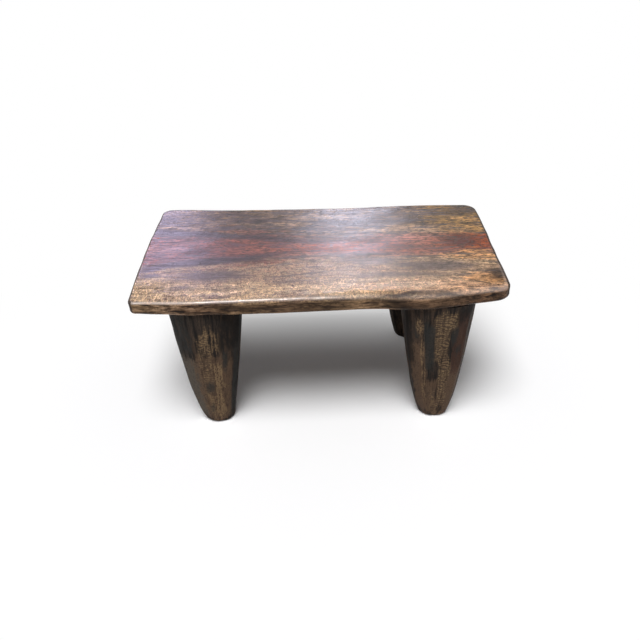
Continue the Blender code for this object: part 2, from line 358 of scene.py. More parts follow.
@dataclass(frozen=True)
class Joint:
    """The round tenon of a leg, its saw cut and its mortise, which scene and model share."""

    radius: float = 0.025
    chamfer: float = 0.0012
    roof: float = 0.009
    end_space: float = 0.0010
    cut: float = 0.0030
    cut_root_height: float = 0.0020
    wedge_head: float = 0.0056
    fit_gap: float = 0.0003
    overrun: float = 0.002

    def spread(self, height: float, span: Pair) -> float:
        """How far the wedge pushes each half outwards: nothing at the cut's root, most at its end."""
        most = (self.wedge_head + 2 * self.fit_gap - self.cut) / 2
        return most * max(height - span[0], 0) / (span[1] - span[0])

    def span(self, underside: float, end: float) -> Pair:
        """The heights of the saw cut's root and of the tenon's end."""
        return underside - self.fit_gap + self.cut_root_height, end

    def ring(self, top: Pair, height: float, span: Pair, angle: Array, grown: float = 0.0) -> Array:
        """A level ring round the tenon: a circle that the wedge has stretched along X.

        Args:
            top: Where the leg's axis meets the seat.
            height: The ring's height.
            span: The heights of the saw cut's root and of the tenon's end.
            angle: The angle of each point.
            grown: How far outside the tenon the ring lies.

        Returns:
            One point for each angle.
        """
        radius = self.radius + grown
        x = top[0] + (radius + self.spread(height, span)) * np.cos(angle)
        return np.stack([x, top[1] + radius * np.sin(angle), np.full_like(x, height)], axis=-1)


@dataclass(frozen=True)
class Dent:
    """A knock on the seat's front upper arris: where along it, how long and how deep."""

    place: float
    length: float
    depth: float


@dataclass
class Seat:
    """The slab seat: hand-sawn plan, crisp upper arris, and a worn roll on the front right.

    The plan is a straight-sided slab with round corners. Each side is then drawn in by
    a share of its trim, along a smooth curve through the shares below. Long sides go by
    shares of the half length and ends by shares of the half width.
    """

    low: Vector
    high: Vector
    joint: Joint
    back_waist: float = 0.0100
    front_trim: float = 0.0240
    left_end_trim: float = 0.0046
    right_end_trim: float = 0.0020
    corner_back_left: float = 0.019
    corner_back_right: float = 0.023
    corner_front_right: float = 0.022
    corner_front_left: float = 0.010
    back_waist_shares: Knots = (
        (-1.00, 0.00), (-0.88, 0.00), (-0.76, 0.30), (-0.53, 0.76), (-0.23, 0.91), (0.08, 1.00),
        (0.23, 0.96), (0.46, 0.52), (0.69, 0.38), (0.84, 0.58), (1.00, 0.70),
    )
    front_trim_shares: Knots = (
        (-1.00, 0.36), (-0.84, 0.22), (-0.66, 0.02), (-0.35, 0.00), (0.10, 0.18), (0.25, 0.25),
        (0.38, 0.15), (0.52, 0.03), (0.63, 0.13), (0.74, 0.42), (0.85, 0.70), (1.00, 1.00),
    )
    left_end_shares: Knots = (
        (-1.00, 0.05), (-0.75, 0.10), (-0.45, 0.06), (-0.20, 0.00),
        (0.10, 0.00), (0.50, 0.42), (1.00, 1.00),
    )
    right_end_shares: Knots = (
        (-1.00, 0.20), (-0.40, 0.85), (0.00, 0.70),
        (0.35, 0.00), (0.65, 0.00), (1.00, 0.80),
    )
    upper_round: float = 0.005
    lower_round: float = 0.0065
    roll_width: float = 0.020
    roll_depth: float = 0.010
    roll_shares: Knots = (
        (-1.00, 0.00), (-0.20, 0.05), (0.10, 0.55),
        (0.36, 1.00), (0.60, 0.80), (1.00, 0.45),
    )
    front_droop: float = 0.0068
    front_droop_reach: float = 0.075
    front_droop_shares: Knots = (
        (-1.00, 0.95), (-0.62, 0.42), (-0.22, 0.00),
        (0.60, 0.00), (0.82, 0.45), (1.00, 1.00),
    )
    dents: tuple[Dent, ...] = (
        Dent(-0.064, 0.008, 0.0013),
        Dent(-0.047, 0.005, 0.0009),
        Dent(-0.120, 0.014, 0.0006),
        Dent(-0.010, 0.012, 0.0008),
        Dent(0.055, 0.018, 0.0009),
        Dent(0.118, 0.010, 0.0008),
        Dent(0.205, 0.016, 0.0010),
    )
    hollows: Waves = Waves((0.110, 0.060), 7, 3)
    hollow_depth: float = 0.00035
    wobbles: Waves = Waves((0.055, 0.060, 0.030), 9, 8)
    wobble_depth: float = 0.0007
    side_zone_shares: Pair = (0.86, 1.0)
    end_zone_shares: Pair = (0.93, 1.0)
    top_zone: float = 0.004
    arris_zone: Pair = (0.012, 0.003)
    end_grain_zone: Pair = (0.009, 0.003)
    end_grain_stop: float = 0.0005
    long_steps: int = 220
    short_steps: int = 120
    round_steps: int = 8
    face_steps: int = 6
    mortise_points: int = 96
    crowding_share: float = 0.55
    sharp_deg: float = 40

    @property
    def half_length(self) -> float:
        """Half the slab's length."""
        return (self.high.x - self.low.x) / 2

    @property
    def half_width(self) -> float:
        """Half the slab's width."""
        return (self.high.y - self.low.y) / 2

    def plan(self, x: Array, y: Array) -> tuple[Array, Array]:
        """Carries points of the straight-sided slab to the hand-shaped one.

        A point moves towards the middle by its side's draw-in, in proportion to how far
        out it lies.

        Args:
            x: Places along the straight slab.
            y: Places across it.

        Returns:
            The places along and across the hand-shaped slab.
        """
        a, b = self.half_length, self.half_width
        back = self.back_waist * smooth_through(self.back_waist_shares, x / a)
        front = self.front_trim * smooth_through(self.front_trim_shares, x / a)
        right = self.right_end_trim * smooth_through(self.right_end_shares, y / b)
        left = self.left_end_trim * smooth_through(self.left_end_shares, y / b)
        return x * (1 - np.where(x > 0, right, left) / a), y * (1 - np.where(y > 0, back, front) / b)

    def side(self, steps: int, turn: int, radii: Pair) -> tuple[Array, Array]:
        """One side of the straight outline, from the middle of one corner to the next.

        The path is half an arc, a straight and half an arc. Points crowd towards its ends:
        the share of the way is t less a sine wave of t, one turn long.

        Args:
            steps: How many steps the side is divided into.
            turn: The side's place round the slab: 0 front, 1 right, 2 back, 3 left.
            radii: The corner radii at its start and its end.

        Returns:
            The points, and the outward direction at each.
        """
        along = np.array([(1, 0), (0, 1), (-1, 0), (0, -1)][turn], float)
        outward = np.array([(0, -1), (1, 0), (0, 1), (-1, 0)][turn], float)
        reach, half = (self.half_width, self.half_length)[:: 1 if turn % 2 == 0 else -1]
        first, last = radii
        t = np.linspace(0, 1, steps + 1)
        t = t - self.crowding_share * np.sin(FULL_TURN * t) / FULL_TURN
        straight = 2 * half - first - last
        start_arc = first * math.pi / 4
        walked = t * (start_arc + straight + last * math.pi / 4)
        tilt = np.maximum(walked - start_arc - straight, 0) / last
        tilt = tilt - np.maximum(start_arc - walked, 0) / first
        radius = np.where(tilt < 0, first, last)
        centre = first - half + np.clip(walked - start_arc, 0, straight)
        place = (centre + radius * np.sin(tilt))[:, None] * along
        place = place + (reach - radius + radius * np.cos(tilt))[:, None] * outward
        return place, np.sin(tilt)[:, None] * along + np.cos(tilt)[:, None] * outward

    def outline(self) -> list[tuple[Array, Array]]:
        """The four sides of the straight outline, anticlockwise from the front.

        Returns:
            For each side, its points and the outward direction at each.
        """
        corners = (
            self.corner_front_left,
            self.corner_front_right,
            self.corner_back_right,
            self.corner_back_left,
        )
        steps = (self.long_steps, self.short_steps) * 2
        return [self.side(n, i, (corners[i], corners[(i + 1) % 4])) for i, n in enumerate(steps)]

    def edge(self, place: Array, outward: Array) -> tuple[Array, Array, Array, Array]:
        """The slab's edge all round: lower round, face, and the upper round or worn roll.

        The rounds are quarter ellipses. The upper one widens and deepens to the roll by a
        share that rises towards the front.

        Args:
            place: The straight outline's points.
            outward: The outward direction at each.

        Returns:
            For each ring from the underside to the top, points in plan, their heights, how
            near each is to the middle of the front upper arris, which carries a painted
            highlight, and how much it is on the roll.
        """
        forward = 0.5 - place[:, 1] / (2 * self.half_width)
        share = smooth_through(self.roll_shares, place[:, 0] / self.half_length) * forward
        width = self.upper_round + (self.roll_width - self.upper_round) * share
        depth = self.upper_round + (self.roll_depth - self.upper_round) * share
        turn = np.linspace(0, math.pi / 2, self.round_steps + 1)[:, None]
        climb = np.linspace(0, 1, self.face_steps + 1)[1:-1, None]
        foot = self.low.z + self.lower_round
        brow = self.high.z - depth
        level = np.ones_like(width)
        inset = [
            self.lower_round * (1 - np.sin(turn)) * level,
            0 * climb * level,
            width * (1 - np.cos(turn)),
        ]
        below = self.low.z + self.lower_round * (1 - np.cos(turn)) * level
        height = np.vstack([below, foot + (brow - foot) * climb, self.high.z - depth * (1 - np.sin(turn))])
        arris, roll = np.zeros((2, *height.shape))
        # The arris value peaks towards the front, where the painted highlight lies.
        arris[-len(turn) :] = np.sin(2 * turn) * (1 - share) * np.clip(forward, 0, 1) ** 2
        roll[-len(turn) :] = np.cos(turn) * share
        return place[None] - outward[None] * np.vstack(inset)[..., None], height, arris, roll

    def sheet(self, rim: list[Array]) -> Array:
        """A flat sheet of points that fills a rim of four sides, as a bilinear Coons patch.

        Each point is the blend of the front and back rims at its column, plus the blend
        of the left and right rims at its row, less the blend of the four corners.

        Args:
            rim: The rim's points along the front, right, back and left, anticlockwise.

        Returns:
            A grid of points, in rows from front to back.
        """
        front, right, back, left = rim[0], rim[1], rim[2][::-1], rim[3][::-1]
        u = np.linspace(0, 1, len(front))[None, :, None]
        v = np.linspace(0, 1, len(right))[:, None, None]
        across = (1 - v) * front[None] + v * back[None]
        along = (1 - u) * left[:, None] + u * right[:, None]
        corners = (1 - v) * ((1 - u) * front[0] + u * front[-1])
        corners = corners + v * ((1 - u) * back[0] + u * back[-1])
        return across + along - corners

    def droop(self, x: Array, y: Array, z: Array) -> Array:
        """How far a point is lowered: most at the top's front corners, and not at all below.

        The top's own droop follows the shares along the seat, and fades towards the back
        with the square of the distance that is left. The face takes its share by height.

        Args:
            x: Places along the straight slab.
            y: Places across it.
            z: Heights.

        Returns:
            The drop at each point.
        """
        fade = np.clip(1 - (y + self.half_width) / self.front_droop_reach, 0, 1) ** 2
        foot = self.low.z + self.lower_round
        by_height = np.clip((z - foot) / (self.high.z - foot), 0, 1)
        along = smooth_through(self.front_droop_shares, x / self.half_length)
        return self.front_droop * along * fade * by_height

    def weather(self, x: Array, y: Array, z: Array | float) -> Array:
        """Places points in the hand-shaped plan and adds the tool's and the years' marks.

        The top keeps faint hollows, the sides wander inwards, and each dent is a bell
        curve along the front arris. Every mark goes inwards, so the slab's box stays.

        Args:
            x: Places along the straight slab.
            y: Places across it.
            z: Heights.

        Returns:
            The finished points.
        """
        z = np.broadcast_to(z, x.shape)
        near_side = smooth_step(*self.side_zone_shares, np.abs(y) / self.half_width)
        near_end = smooth_step(*self.end_zone_shares, np.abs(x) / self.half_length)
        top = smooth_step(self.high.z - self.top_zone, self.high.z, z)
        swell = np.clip(0.5 + 0.5 * self.hollows.at(x, y), 0, 1)
        sink = self.hollow_depth * swell * (1 - near_end) * (1 - near_side)
        pull = self.wobble_depth * np.clip(0.5 + 0.5 * self.wobbles.at(x, y, z), 0, 1)
        knocks = [d.depth * np.exp(-(((x - d.place) / d.length) ** 2)) for d in self.dents]
        front = np.where(y < 0, near_side, 0.0)
        start, full = self.arris_zone
        knock = sum(knocks) * front * smooth_step(self.high.z - start, self.high.z - full, z)
        px, py = self.plan(x, y)
        px = px - np.sign(x) * pull * near_end
        py = py - np.sign(y) * (pull + knock) * near_side
        return np.stack([px, py, z - top * sink - knock - self.droop(x, y, z)], axis=-1)

    def mortise(self, top: Pair) -> bpy.types.Object:
        """The cutter for one blind mortise, undercut to hold the spread tenon.

        Args:
            top: Where the leg's axis meets the seat.

        Returns:
            A closed cutter.
        """
        joint = self.joint
        mouth = self.low.z - joint.overrun
        floor = self.high.z - joint.roof
        span = joint.span(self.low.z, floor - joint.end_space)
        angle = np.linspace(0, FULL_TURN, self.mortise_points, endpoint=False)
        rings = [joint.ring(top, height, span, angle, joint.fit_gap) for height in (mouth, span[0], floor)]
        poles = [np.broadcast_to((*top, height), rings[0].shape) for height in (mouth, floor)]
        cutter = Surface("mortise_cutter")
        cutter.take(np.array([poles[0], *rings, poles[1]]), closed=True)
        return cutter.to_object()

    def build(self, leg_tops: list[Pair]) -> bpy.types.Object:
        """Builds the slab with its four blind mortises.

        Args:
            leg_tops: Where each leg's axis meets the seat.

        Returns:
            The seat's object.
        """
        sides = self.outline()
        place, outward = (np.vstack([side[part][:-1] for side in sides]) for part in (0, 1))
        ring, height, arris, roll = self.edge(place, outward)
        # The end faces below the top are marked for the near-black coat of end grain and painted shade.
        start, full = (self.half_length - inset for inset in self.end_grain_zone)
        end = smooth_step(start, full, np.abs(ring[..., 0]))
        end = end * smooth_step(self.high.z, self.high.z - self.end_grain_stop, height)
        skin = Surface("seat")
        shaped = self.weather(ring[..., 0], ring[..., 1], height)
        skin.take(shaped, closed=True, arris=arris, roll=roll, end=end)
        starts = np.cumsum([0] + [len(side) - 1 for side, _ in sides])
        for level, level_height in ((0, self.low.z), (-1, self.high.z)):
            looped = np.vstack([ring[level], ring[level][:1]])
            flat = self.sheet([looped[a : b + 1] for a, b in zip(starts, starts[1:])])
            shaped = self.weather(flat[..., 0], flat[..., 1], level_height)
            skin.take(shaped, arris=0.0, roll=0.0, end=0.0)
        seat = skin.to_object()
        for top in leg_tops:
            cut_away(seat, self.mortise(top))
        sharpen(seat, self.sharp_deg)
        return seat


class Wear(Enum):
    """What a patch of a leg's finish shows, by the name of its attribute.

    The near-black patches are partly painted shade, on inner flanks and at the tops under the seat.
    """

    GREY = "grey"
    BROWN = "brown"
    RED = "red"
    RUBBED = "rubbed"
    RIPPLED = "rippled"
    SOOT_AND_SHADE = "soot_and_shade"
    STAIN_AND_SHADE = "stain"


@dataclass(frozen=True)
class Facet:
    """A flat hewn on a leg: the way it faces in degrees, its depth, and how high it runs."""

    angle: float
    depth: float
    low: float = 0
    high: float = 240


@dataclass(frozen=True)
class Patch:
    """A patch of finish on a leg, by the way it faces in degrees and its heights.

    Its lean is how many degrees it moves round the leg from the foot to the shoulder.
    """

    wear: Wear
    angle: float
    half_angle: float
    low: float
    high: float
    strength: float = 1.0
    lean: float = 0.0


@dataclass(frozen=True)
class LegPlan:
    """What the hand that cut it made different in one leg."""

    name: str
    side: int
    drift_share: float
    drift_power: float
    splay_share: float
    taper_power: float
    seed: int
    facets: tuple[Facet, ...]
    patches: tuple[Patch, ...]


LEG_PLANS = (
    LegPlan(
        name="front_left",
        side=-1,
        drift_share=1.00,
        drift_power=7,
        splay_share=0.95,
        taper_power=0.64,
        seed=11,
        facets=(
            Facet(-77, 1.1, 0, 200), Facet(-122, 1.2, 0, 210), Facet(-35, 1.0, 20, 220),
            Facet(-165, 1.2), Facet(10, 1.2), Facet(60, 1.2), Facet(100, 1.0), Facet(145, 1.2),
        ),
        patches=(
            Patch(Wear.RIPPLED, -93, 12, 90, 195, 0.70),
            Patch(Wear.RUBBED, -80, 14, 155, 206, 0.60),
            Patch(Wear.RUBBED, -72, 8, 25, 135, 0.95),
            Patch(Wear.RUBBED, -80, 26, 5, 90, 0.55),
            Patch(Wear.BROWN, -55, 16, 10, 140),
            Patch(Wear.BROWN, -85, 34, 0, 155, 0.9),
            Patch(Wear.GREY, -125, 22, 15, 145),
            # Painted shade on the inner flank under the seat
            Patch(Wear.STAIN_AND_SHADE, -45, 22, 160, 240, 0.9),
            Patch(Wear.SOOT_AND_SHADE, -57, 5, 120, 165, 0.9),
            Patch(Wear.SOOT_AND_SHADE, -90, 11, 72, 96, 0.9),
            Patch(Wear.SOOT_AND_SHADE, -95, 9, 30, 45, 0.7),
            # Painted shade down the inner side and at the back of the top
            Patch(Wear.SOOT_AND_SHADE, -25, 14, 20, 240, 0.8),
            Patch(Wear.SOOT_AND_SHADE, -132, 22, 150, 240, 0.6),
            Patch(Wear.GREY, 60, 40, 30, 160, 0.7),
            Patch(Wear.RUBBED, 120, 20, 40, 150, 0.42),
        ),
    ),
    LegPlan(
        name="front_right",
        side=-1,
        drift_share=1.00,
        drift_power=1,
        splay_share=0.85,
        taper_power=0.59,
        seed=23,
        facets=(
            Facet(-91, 1.2, 0, 220), Facet(-114, 1.0, 50, 220), Facet(-138, 1.1, 0, 220),
            Facet(-64, 1.0, 40, 220), Facet(-30, 1.2), Facet(15, 1.2), Facet(55, 1.0),
            Facet(95, 1.2), Facet(140, 1.2), Facet(-170, 1.0),
        ),
        patches=(
            Patch(Wear.RIPPLED, -88, 13, 125, 200),
            Patch(Wear.RIPPLED, -84, 19, 188, 226),
            Patch(Wear.RIPPLED, -78, 11, 55, 135, 0.9),
            Patch(Wear.RIPPLED, -82, 24, -20, 65, 0.60),
            Patch(Wear.RUBBED, -74, 9, 192, 226),
            Patch(Wear.BROWN, -132, 20, 10, 165, 0.95),
            # Painted shade at the top, under the seat
            Patch(Wear.STAIN_AND_SHADE, -150, 12, 110, 240, 0.85),
            Patch(Wear.STAIN_AND_SHADE, -48, 20, 200, 240, 0.80),
            Patch(Wear.RUBBED, -124, 6, 180, 215),
            Patch(Wear.RUBBED, -120, 5, 30, 180, 0.55),
            Patch(Wear.SOOT_AND_SHADE, -108, 9, 110, 205, 0.95),
            Patch(Wear.SOOT_AND_SHADE, -132, 8, 172, 192, 0.8),
            Patch(Wear.SOOT_AND_SHADE, -67, 6, 160, 198),
            Patch(Wear.SOOT_AND_SHADE, -57, 7, 138, 158, 0.9),
            Patch(Wear.RED, -54, 14, 95, 225),
            Patch(Wear.BROWN, -55, 24, -20, 115),
            Patch(Wear.BROWN, -100, 30, 0, 90, 0.8),
            Patch(Wear.GREY, 30, 50, 30, 150, 0.6),
        ),
    ),
    LegPlan(
        name="back_left",
        side=1,
        drift_share=0.60,
        drift_power=2,
        splay_share=1.05,
        taper_power=0.63,
        seed=37,
        facets=(
            Facet(-80, 1.1), Facet(-120, 1.2), Facet(-40, 1.0), Facet(0, 1.2),
            Facet(42, 1.2), Facet(85, 1.1), Facet(125, 1.2), Facet(168, 1.2),
        ),
        patches=(
            Patch(Wear.BROWN, 90, 50, 0, 140, 0.8),
            Patch(Wear.RUBBED, 95, 20, 40, 200, 0.48, 8),
            Patch(Wear.RUBBED, 150, 14, 60, 180, 0.45),
            Patch(Wear.GREY, 20, 40, 30, 150, 0.7),
            Patch(Wear.SOOT_AND_SHADE, 122, 8, 80, 230, 0.8),
        ),
    ),
    LegPlan(
        name="back_right",
        side=1,
        drift_share=0.65,
        drift_power=1,
        splay_share=1.00,
        taper_power=0.66,
        seed=51,
        facets=(
            Facet(-85, 1.1), Facet(-125, 1.2), Facet(-45, 1.0), Facet(-5, 1.2),
            Facet(38, 1.2), Facet(80, 1.1), Facet(120, 1.2), Facet(160, 1.2),
        ),
        patches=(
            Patch(Wear.RED, -165, 30, 100, 235, 0.9),
            Patch(Wear.BROWN, 90, 50, 0, 150, 0.8),
            Patch(Wear.RUBBED, 78, 18, 40, 210, 0.48, -8),
            Patch(Wear.GREY, 130, 30, 30, 160, 0.8),
            Patch(Wear.SOOT_AND_SHADE, 104, 8, 80, 230, 0.8),
        ),
    ),
)


@dataclass
class Leg:
    """One hewn leg with its tenon: a convex taper from a squarish shoulder to a round foot.

    A level section is a superellipse. Its half sizes grow from the foot to the shoulder
    with a power of the height, and its axis drifts and splays towards the foot.
    """

    plan: LegPlan
    joint: Joint
    top: Pair
    seat_underside: float
    tenon_end: float
    foot_drift: float = 0.0060
    foot_splay: float = 0.0120
    foot_half_length: float = 0.0238
    foot_half_width: float = 0.0235
    foot_edge_round: float = 0.0045
    top_half_length: float = 0.0625
    top_half_width: float = 0.0520
    foot_squareness: float = 2.1
    top_squareness: float = 2.6
    facet_turns: Waves = Waves((0.11,), 4)
    facet_turn: float = 0.06
    facet_swells: Waves = Waves((0.06,), 3)
    facet_swell_share: float = 0.35
    facet_swell_shift: int = 31
    facet_fade: float = 0.03
    lumps: Waves = Waves((0.045, 0.045, 0.07), 8)
    lump_depth: float = 0.0005
    chatter_pitch: float = 0.0046
    chatter_depth: float = 0.00028
    chatter_drifts: Waves = Waves((0.5, 0.03), 6, 5)
    chatter_drift_share: float = 0.8
    faint_chatter_share: float = 0.15
    foot_fade: float = 0.02
    shoulder_fade: float = 0.012
    patch_fade: float = 0.016
    patch_rim_shares: Pair = (1.5, 0.5)
    section_points: int = 176
    body_steps: int = 280
    body_crowding: float = 1.15
    cap_steps: int = 8
    sharp_deg: float = 35

    @property
    def shoulder(self) -> float:
        """The height of the leg's shoulder, a fitting gap under the seat."""
        return self.seat_underside - self.joint.fit_gap

    @property
    def span(self) -> Pair:
        """The heights of the saw cut's root and of the tenon's end."""
        return self.joint.span(self.seat_underside, self.tenon_end)

    def section(self, height: Array) -> tuple[Array, Array, Array, Array, Array]:
        """The leg's level section at each height.

        Args:
            height: The heights.

        Returns:
            The middle's X and Y, the half length, the half width and the squareness.
        """
        plan = self.plan
        share = height / self.shoulder
        swell = share**plan.taper_power
        drop = np.clip(1 - height / self.foot_edge_round, 0, 1)
        rounding = self.foot_edge_round * (1 - np.sqrt(1 - drop**2))
        drift = self.foot_drift * plan.drift_share * (1 - share) ** plan.drift_power
        splay = self.foot_splay * plan.splay_share * (1 - share)
        length = self.foot_half_length + (self.top_half_length - self.foot_half_length) * swell
        width = self.foot_half_width + (self.top_half_width - self.foot_half_width) * swell
        square = self.foot_squareness + (self.top_squareness - self.foot_squareness) * share
        middle = self.top[0] + drift, self.top[1] + plan.side * splay
        return *middle, length - rounding, width - rounding, square

    def hewn(self, x: Array, y: Array, z: Array) -> tuple[Array, Array]:
        """Cuts the facets into rings of superellipses about the axis.

        A facet is a plane that stands off the axis by the ring's reach in its direction,
        less its depth, and a point beyond the plane moves back onto it.

        Args:
            x: The points' places along X from the axis.
            y: Their places along Y from it.
            z: The rings' heights.

        Returns:
            The new places along X and Y.
        """
        _, _, half_length, half_width, square = self.section(z)
        dual = square / (square - 1)
        seed = self.plan.seed
        for number, facet in enumerate(self.plan.facets):
            turn = self.facet_turn * self.facet_turns.at(z, shift=seed + number)
            way = math.radians(facet.angle) + turn
            nx, ny = np.cos(way), np.sin(way)
            reach = (np.abs(half_length * nx) ** dual + np.abs(half_width * ny) ** dual) ** (1 / dual)
            kept = between(facet.low * MM, facet.high * MM, self.facet_fade, z)
            swell = self.facet_swells.at(z, shift=seed + self.facet_swell_shift * number)
            depth = facet.depth * MM * kept * (1 + self.facet_swell_share * swell)
            beyond = np.clip(x * nx + y * ny - (reach - depth), 0, None)
            x, y = x - nx * beyond, y - ny * beyond
        return x, y

    def body(self, height: Array, angle: Array) -> tuple[Array, dict[str, Array]]:
        """The leg's hewn side: rings of points at heights, and the finish's attributes.

        The facets come first. Every point then sinks by low lumps and by the ripples of a
        scraping blade, which are strong in the rippled patches and faint elsewhere.

        Args:
            height: The rings' heights.
            angle: Angles round the section, the same for every ring.

        Returns:
            The grid of points, and a grid of values for each attribute.
        """
        z = height[:, None]
        seed = self.plan.seed
        cx, cy, half_length, half_width, square = self.section(z)
        cosine, sine = np.cos(angle)[None], np.sin(angle)[None]
        x = half_length * np.sign(cosine) * np.abs(cosine) ** (2 / square)
        y = half_width * np.sign(sine) * np.abs(sine) ** (2 / square)
        x, y = self.hewn(x, y, z)
        around = np.arctan2(y / half_width, x / half_length)
        finish = self.finish(np.degrees(around), z)
        drift = self.chatter_drifts.at(around, z, shift=seed)
        wave = np.sin(FULL_TURN * (z / self.chatter_pitch + self.chatter_drift_share * drift))
        faint = self.faint_chatter_share
        ripple = wave * (faint + (1 - faint) * np.clip(finish[Wear.RIPPLED.value], 0, 1))
        lump = self.lump_depth * (0.5 + 0.5 * self.lumps.at(x + cx, y + cy, z, shift=seed))
        level = smooth_step(0.0, self.foot_fade, z)
        level = level * smooth_step(self.shoulder, self.shoulder - self.shoulder_fade, z)
        shrink = 1 - (lump + self.chatter_depth * (1 + ripple)) * level / np.hypot(x, y)
        finish["ripple"] = ripple
        return np.stack([cx + x * shrink, cy + y * shrink, z + 0 * x], axis=-1), finish

    def finish(self, around: Array, z: Array) -> dict[str, Array]:
        """How much of each finish the patches leave at each point.

        A patch is a soft-edged block: full inside half of its half angle, and gone half
        of the way further out. It may lean round the leg as it rises.

        Args:
            around: The way each point faces, in degrees from +X.
            z: The heights.

        Returns:
            A grid of values for each kind of finish.
        """
        made = {wear.value: np.zeros(np.broadcast_shapes(around.shape, z.shape)) for wear in Wear}
        for patch in self.plan.patches:
            middle = patch.angle + patch.lean * (z / self.shoulder - 0.5)
            off = np.abs((around - middle + 180) % 360 - 180) / patch.half_angle
            kept = between(patch.low * MM, patch.high * MM, self.patch_fade, z)
            share = patch.strength * smooth_step(*self.patch_rim_shares, off) * kept
            made[patch.wear.value] = np.maximum(made[patch.wear.value], share)
        return made

    def saw_cutter(self) -> bpy.types.Object:
        """The cutter for the saw cut in the tenon, which the wedge has opened.

        Returns:
            A closed cutter.
        """
        joint, span = self.joint, self.span
        past = span[1] + joint.overrun
        reach = joint.radius + joint.overrun
        rings = [[(*self.top, span[0])] * 4]
        for height in (span[0], past):
            half = joint.cut / 2 + joint.spread(height, span)
            corners = [(half, -reach), (half, reach), (-half, reach), (-half, -reach)]
            rings.append([(self.top[0] + i, self.top[1] + j, height) for i, j in corners])
        rings.append([(*self.top, past)] * 4)
        cutter = Surface("saw_cutter")
        cutter.take(np.array(rings), closed=True)
        return cutter.to_object()

    def build(self) -> bpy.types.Object:
        """Builds the leg from the pole of its foot to the pole of its tenon.

        Returns:
            The leg's object.
        """
        joint, span = self.joint, self.span
        angle = np.linspace(0, FULL_TURN, self.section_points, endpoint=False)
        turn = np.linspace(0, math.pi / 2, self.cap_steps, endpoint=False)
        foot = self.foot_edge_round * (1 - np.cos(turn))
        climb = np.linspace(0, 1, self.body_steps) ** self.body_crowding
        rise = self.foot_edge_round + (self.shoulder - self.foot_edge_round) * climb
        rings, finish = self.body(np.concatenate([foot, rise]), angle)
        base = np.array([*np.mean(rings[0][:, :2], axis=0), rings[0][0, 2]])
        sole = base + (rings[0] - base) * np.linspace(0, 1, self.cap_steps)[:-1, None, None]
        heights = (self.shoulder, span[0], span[1] - joint.chamfer)
        neck = [joint.ring(self.top, height, span, angle) for height in heights]
        neck.append(joint.ring(self.top, span[1], span, angle, -joint.chamfer))
        neck.append(np.broadcast_to((*self.top, span[1]), neck[0].shape))
        ends = np.zeros(sole.shape[:2]), np.zeros(np.shape(neck)[:2])
        values = {kind: np.vstack([ends[0], value, ends[1]]) for kind, value in finish.items()}
        skin = Surface(f"hewn_leg_{self.plan.name}")
        skin.take(np.vstack([sole, rings, neck]), closed=True, **values)
        leg = skin.to_object()
        cut_away(leg, self.saw_cutter())
        sharpen(leg, self.sharp_deg)
        return leg


@dataclass(frozen=True)
class Grain:
    """Noise in cells of these lengths along X, Y and Z, with this much finer detail and curl."""

    lengths: Triple
    detail: float
    distortion: float = 0.0
    roughness: float = 0.6

    def on(self, tree: Tree, place: Socket) -> Socket:
        """Draws the noise.

        Args:
            tree: The material's node tree.
            place: The coordinates that it reads.

        Returns:
            The noise, which lies mostly between 0.3 and 0.7.
        """
        scale = tuple(1 / (length * MM) for length in self.lengths)
        inputs = {
            "Vector": add(tree, "ShaderNodeMapping", {"Vector": place, "Scale": scale}),
            "Scale": 1.0,
            "Detail": self.detail,
            "Roughness": self.roughness,
            "Distortion": self.distortion,
        }
        return add(tree, "ShaderNodeTexNoise", inputs)


@dataclass(frozen=True)
class Coat:
    """A tone on the wood: none where its pattern reads start, and most where it reads full."""

    tone: Tone
    start: float
    full: float
    most: float = 1.0

    def over(
        self,
        tree: Tree,
        colour: Socket | Tone,
        pattern: Socket,
        within: Socket | None = None,
        tone: Socket | None = None,
    ) -> Socket:
        """Lays the coat over a colour, by a smooth step between its start and full readings.

        Args:
            tree: The material's node tree.
            colour: What lies below.
            pattern: What the coat follows.
            within: A share that the coat is multiplied by.
            tone: A colour that varies, in place of the coat's one tone.

        Returns:
            The colour with the coat on it.
        """
        share = add(tree, RAMP, (pattern, self.start, self.full, 0.0, self.most), **SMOOTH)
        if within is not None:
            share = add(tree, MATH, (share, within), operation="MULTIPLY")
        inputs = {0: share, 6: colour, 7: self.tone if tone is None else tone}
        return add(tree, MIX, inputs, 2, data_type="RGBA")


@dataclass(frozen=True)
class Mark:
    """A streak or cloud of another colour in the seat's wood, long ways with the grain.

    Its middle and half sizes are in millimetres. A positive tilt, in degrees, raises its
    right end towards the back. It is a soft ellipse whose rim the grain frays.
    """

    tone: Tone
    x: float
    y: float
    half_length: float
    half_width: float
    strength: float = 0.8
    tilt: float = 0.0
    soft: float = 0.40
    usual_fray: float = 2.0

    def over(self, tree: Tree, colour: Socket, place: Socket, fray: Socket) -> Socket:
        """Lays the mark over a colour, half strong where fray and distance reach the rim.

        Args:
            tree: The material's node tree.
            colour: What lies below.
            place: The coordinates that it reads.
            fray: How far the grain pushes the rim in.

        Returns:
            The colour with the mark on it.
        """
        inputs = {
            "Vector": place,
            "Location": (self.x * MM, self.y * MM, 0.0),
            "Rotation": (0.0, 0.0, math.radians(self.tilt)),
            "Scale": (self.half_length * MM, self.half_width * MM, 1000.0),
        }
        spot = add(tree, "ShaderNodeMapping", inputs, vector_type="TEXTURE")
        away = add(tree, "ShaderNodeVectorMath", (spot,), 1, operation="LENGTH")
        frayed = add(tree, MATH, (fray, away), operation="ADD")
        rim = self.usual_fray + 1
        coat = Coat(self.tone, rim + self.soft, rim - self.soft, self.strength)
        return coat.over(tree, colour, frayed)


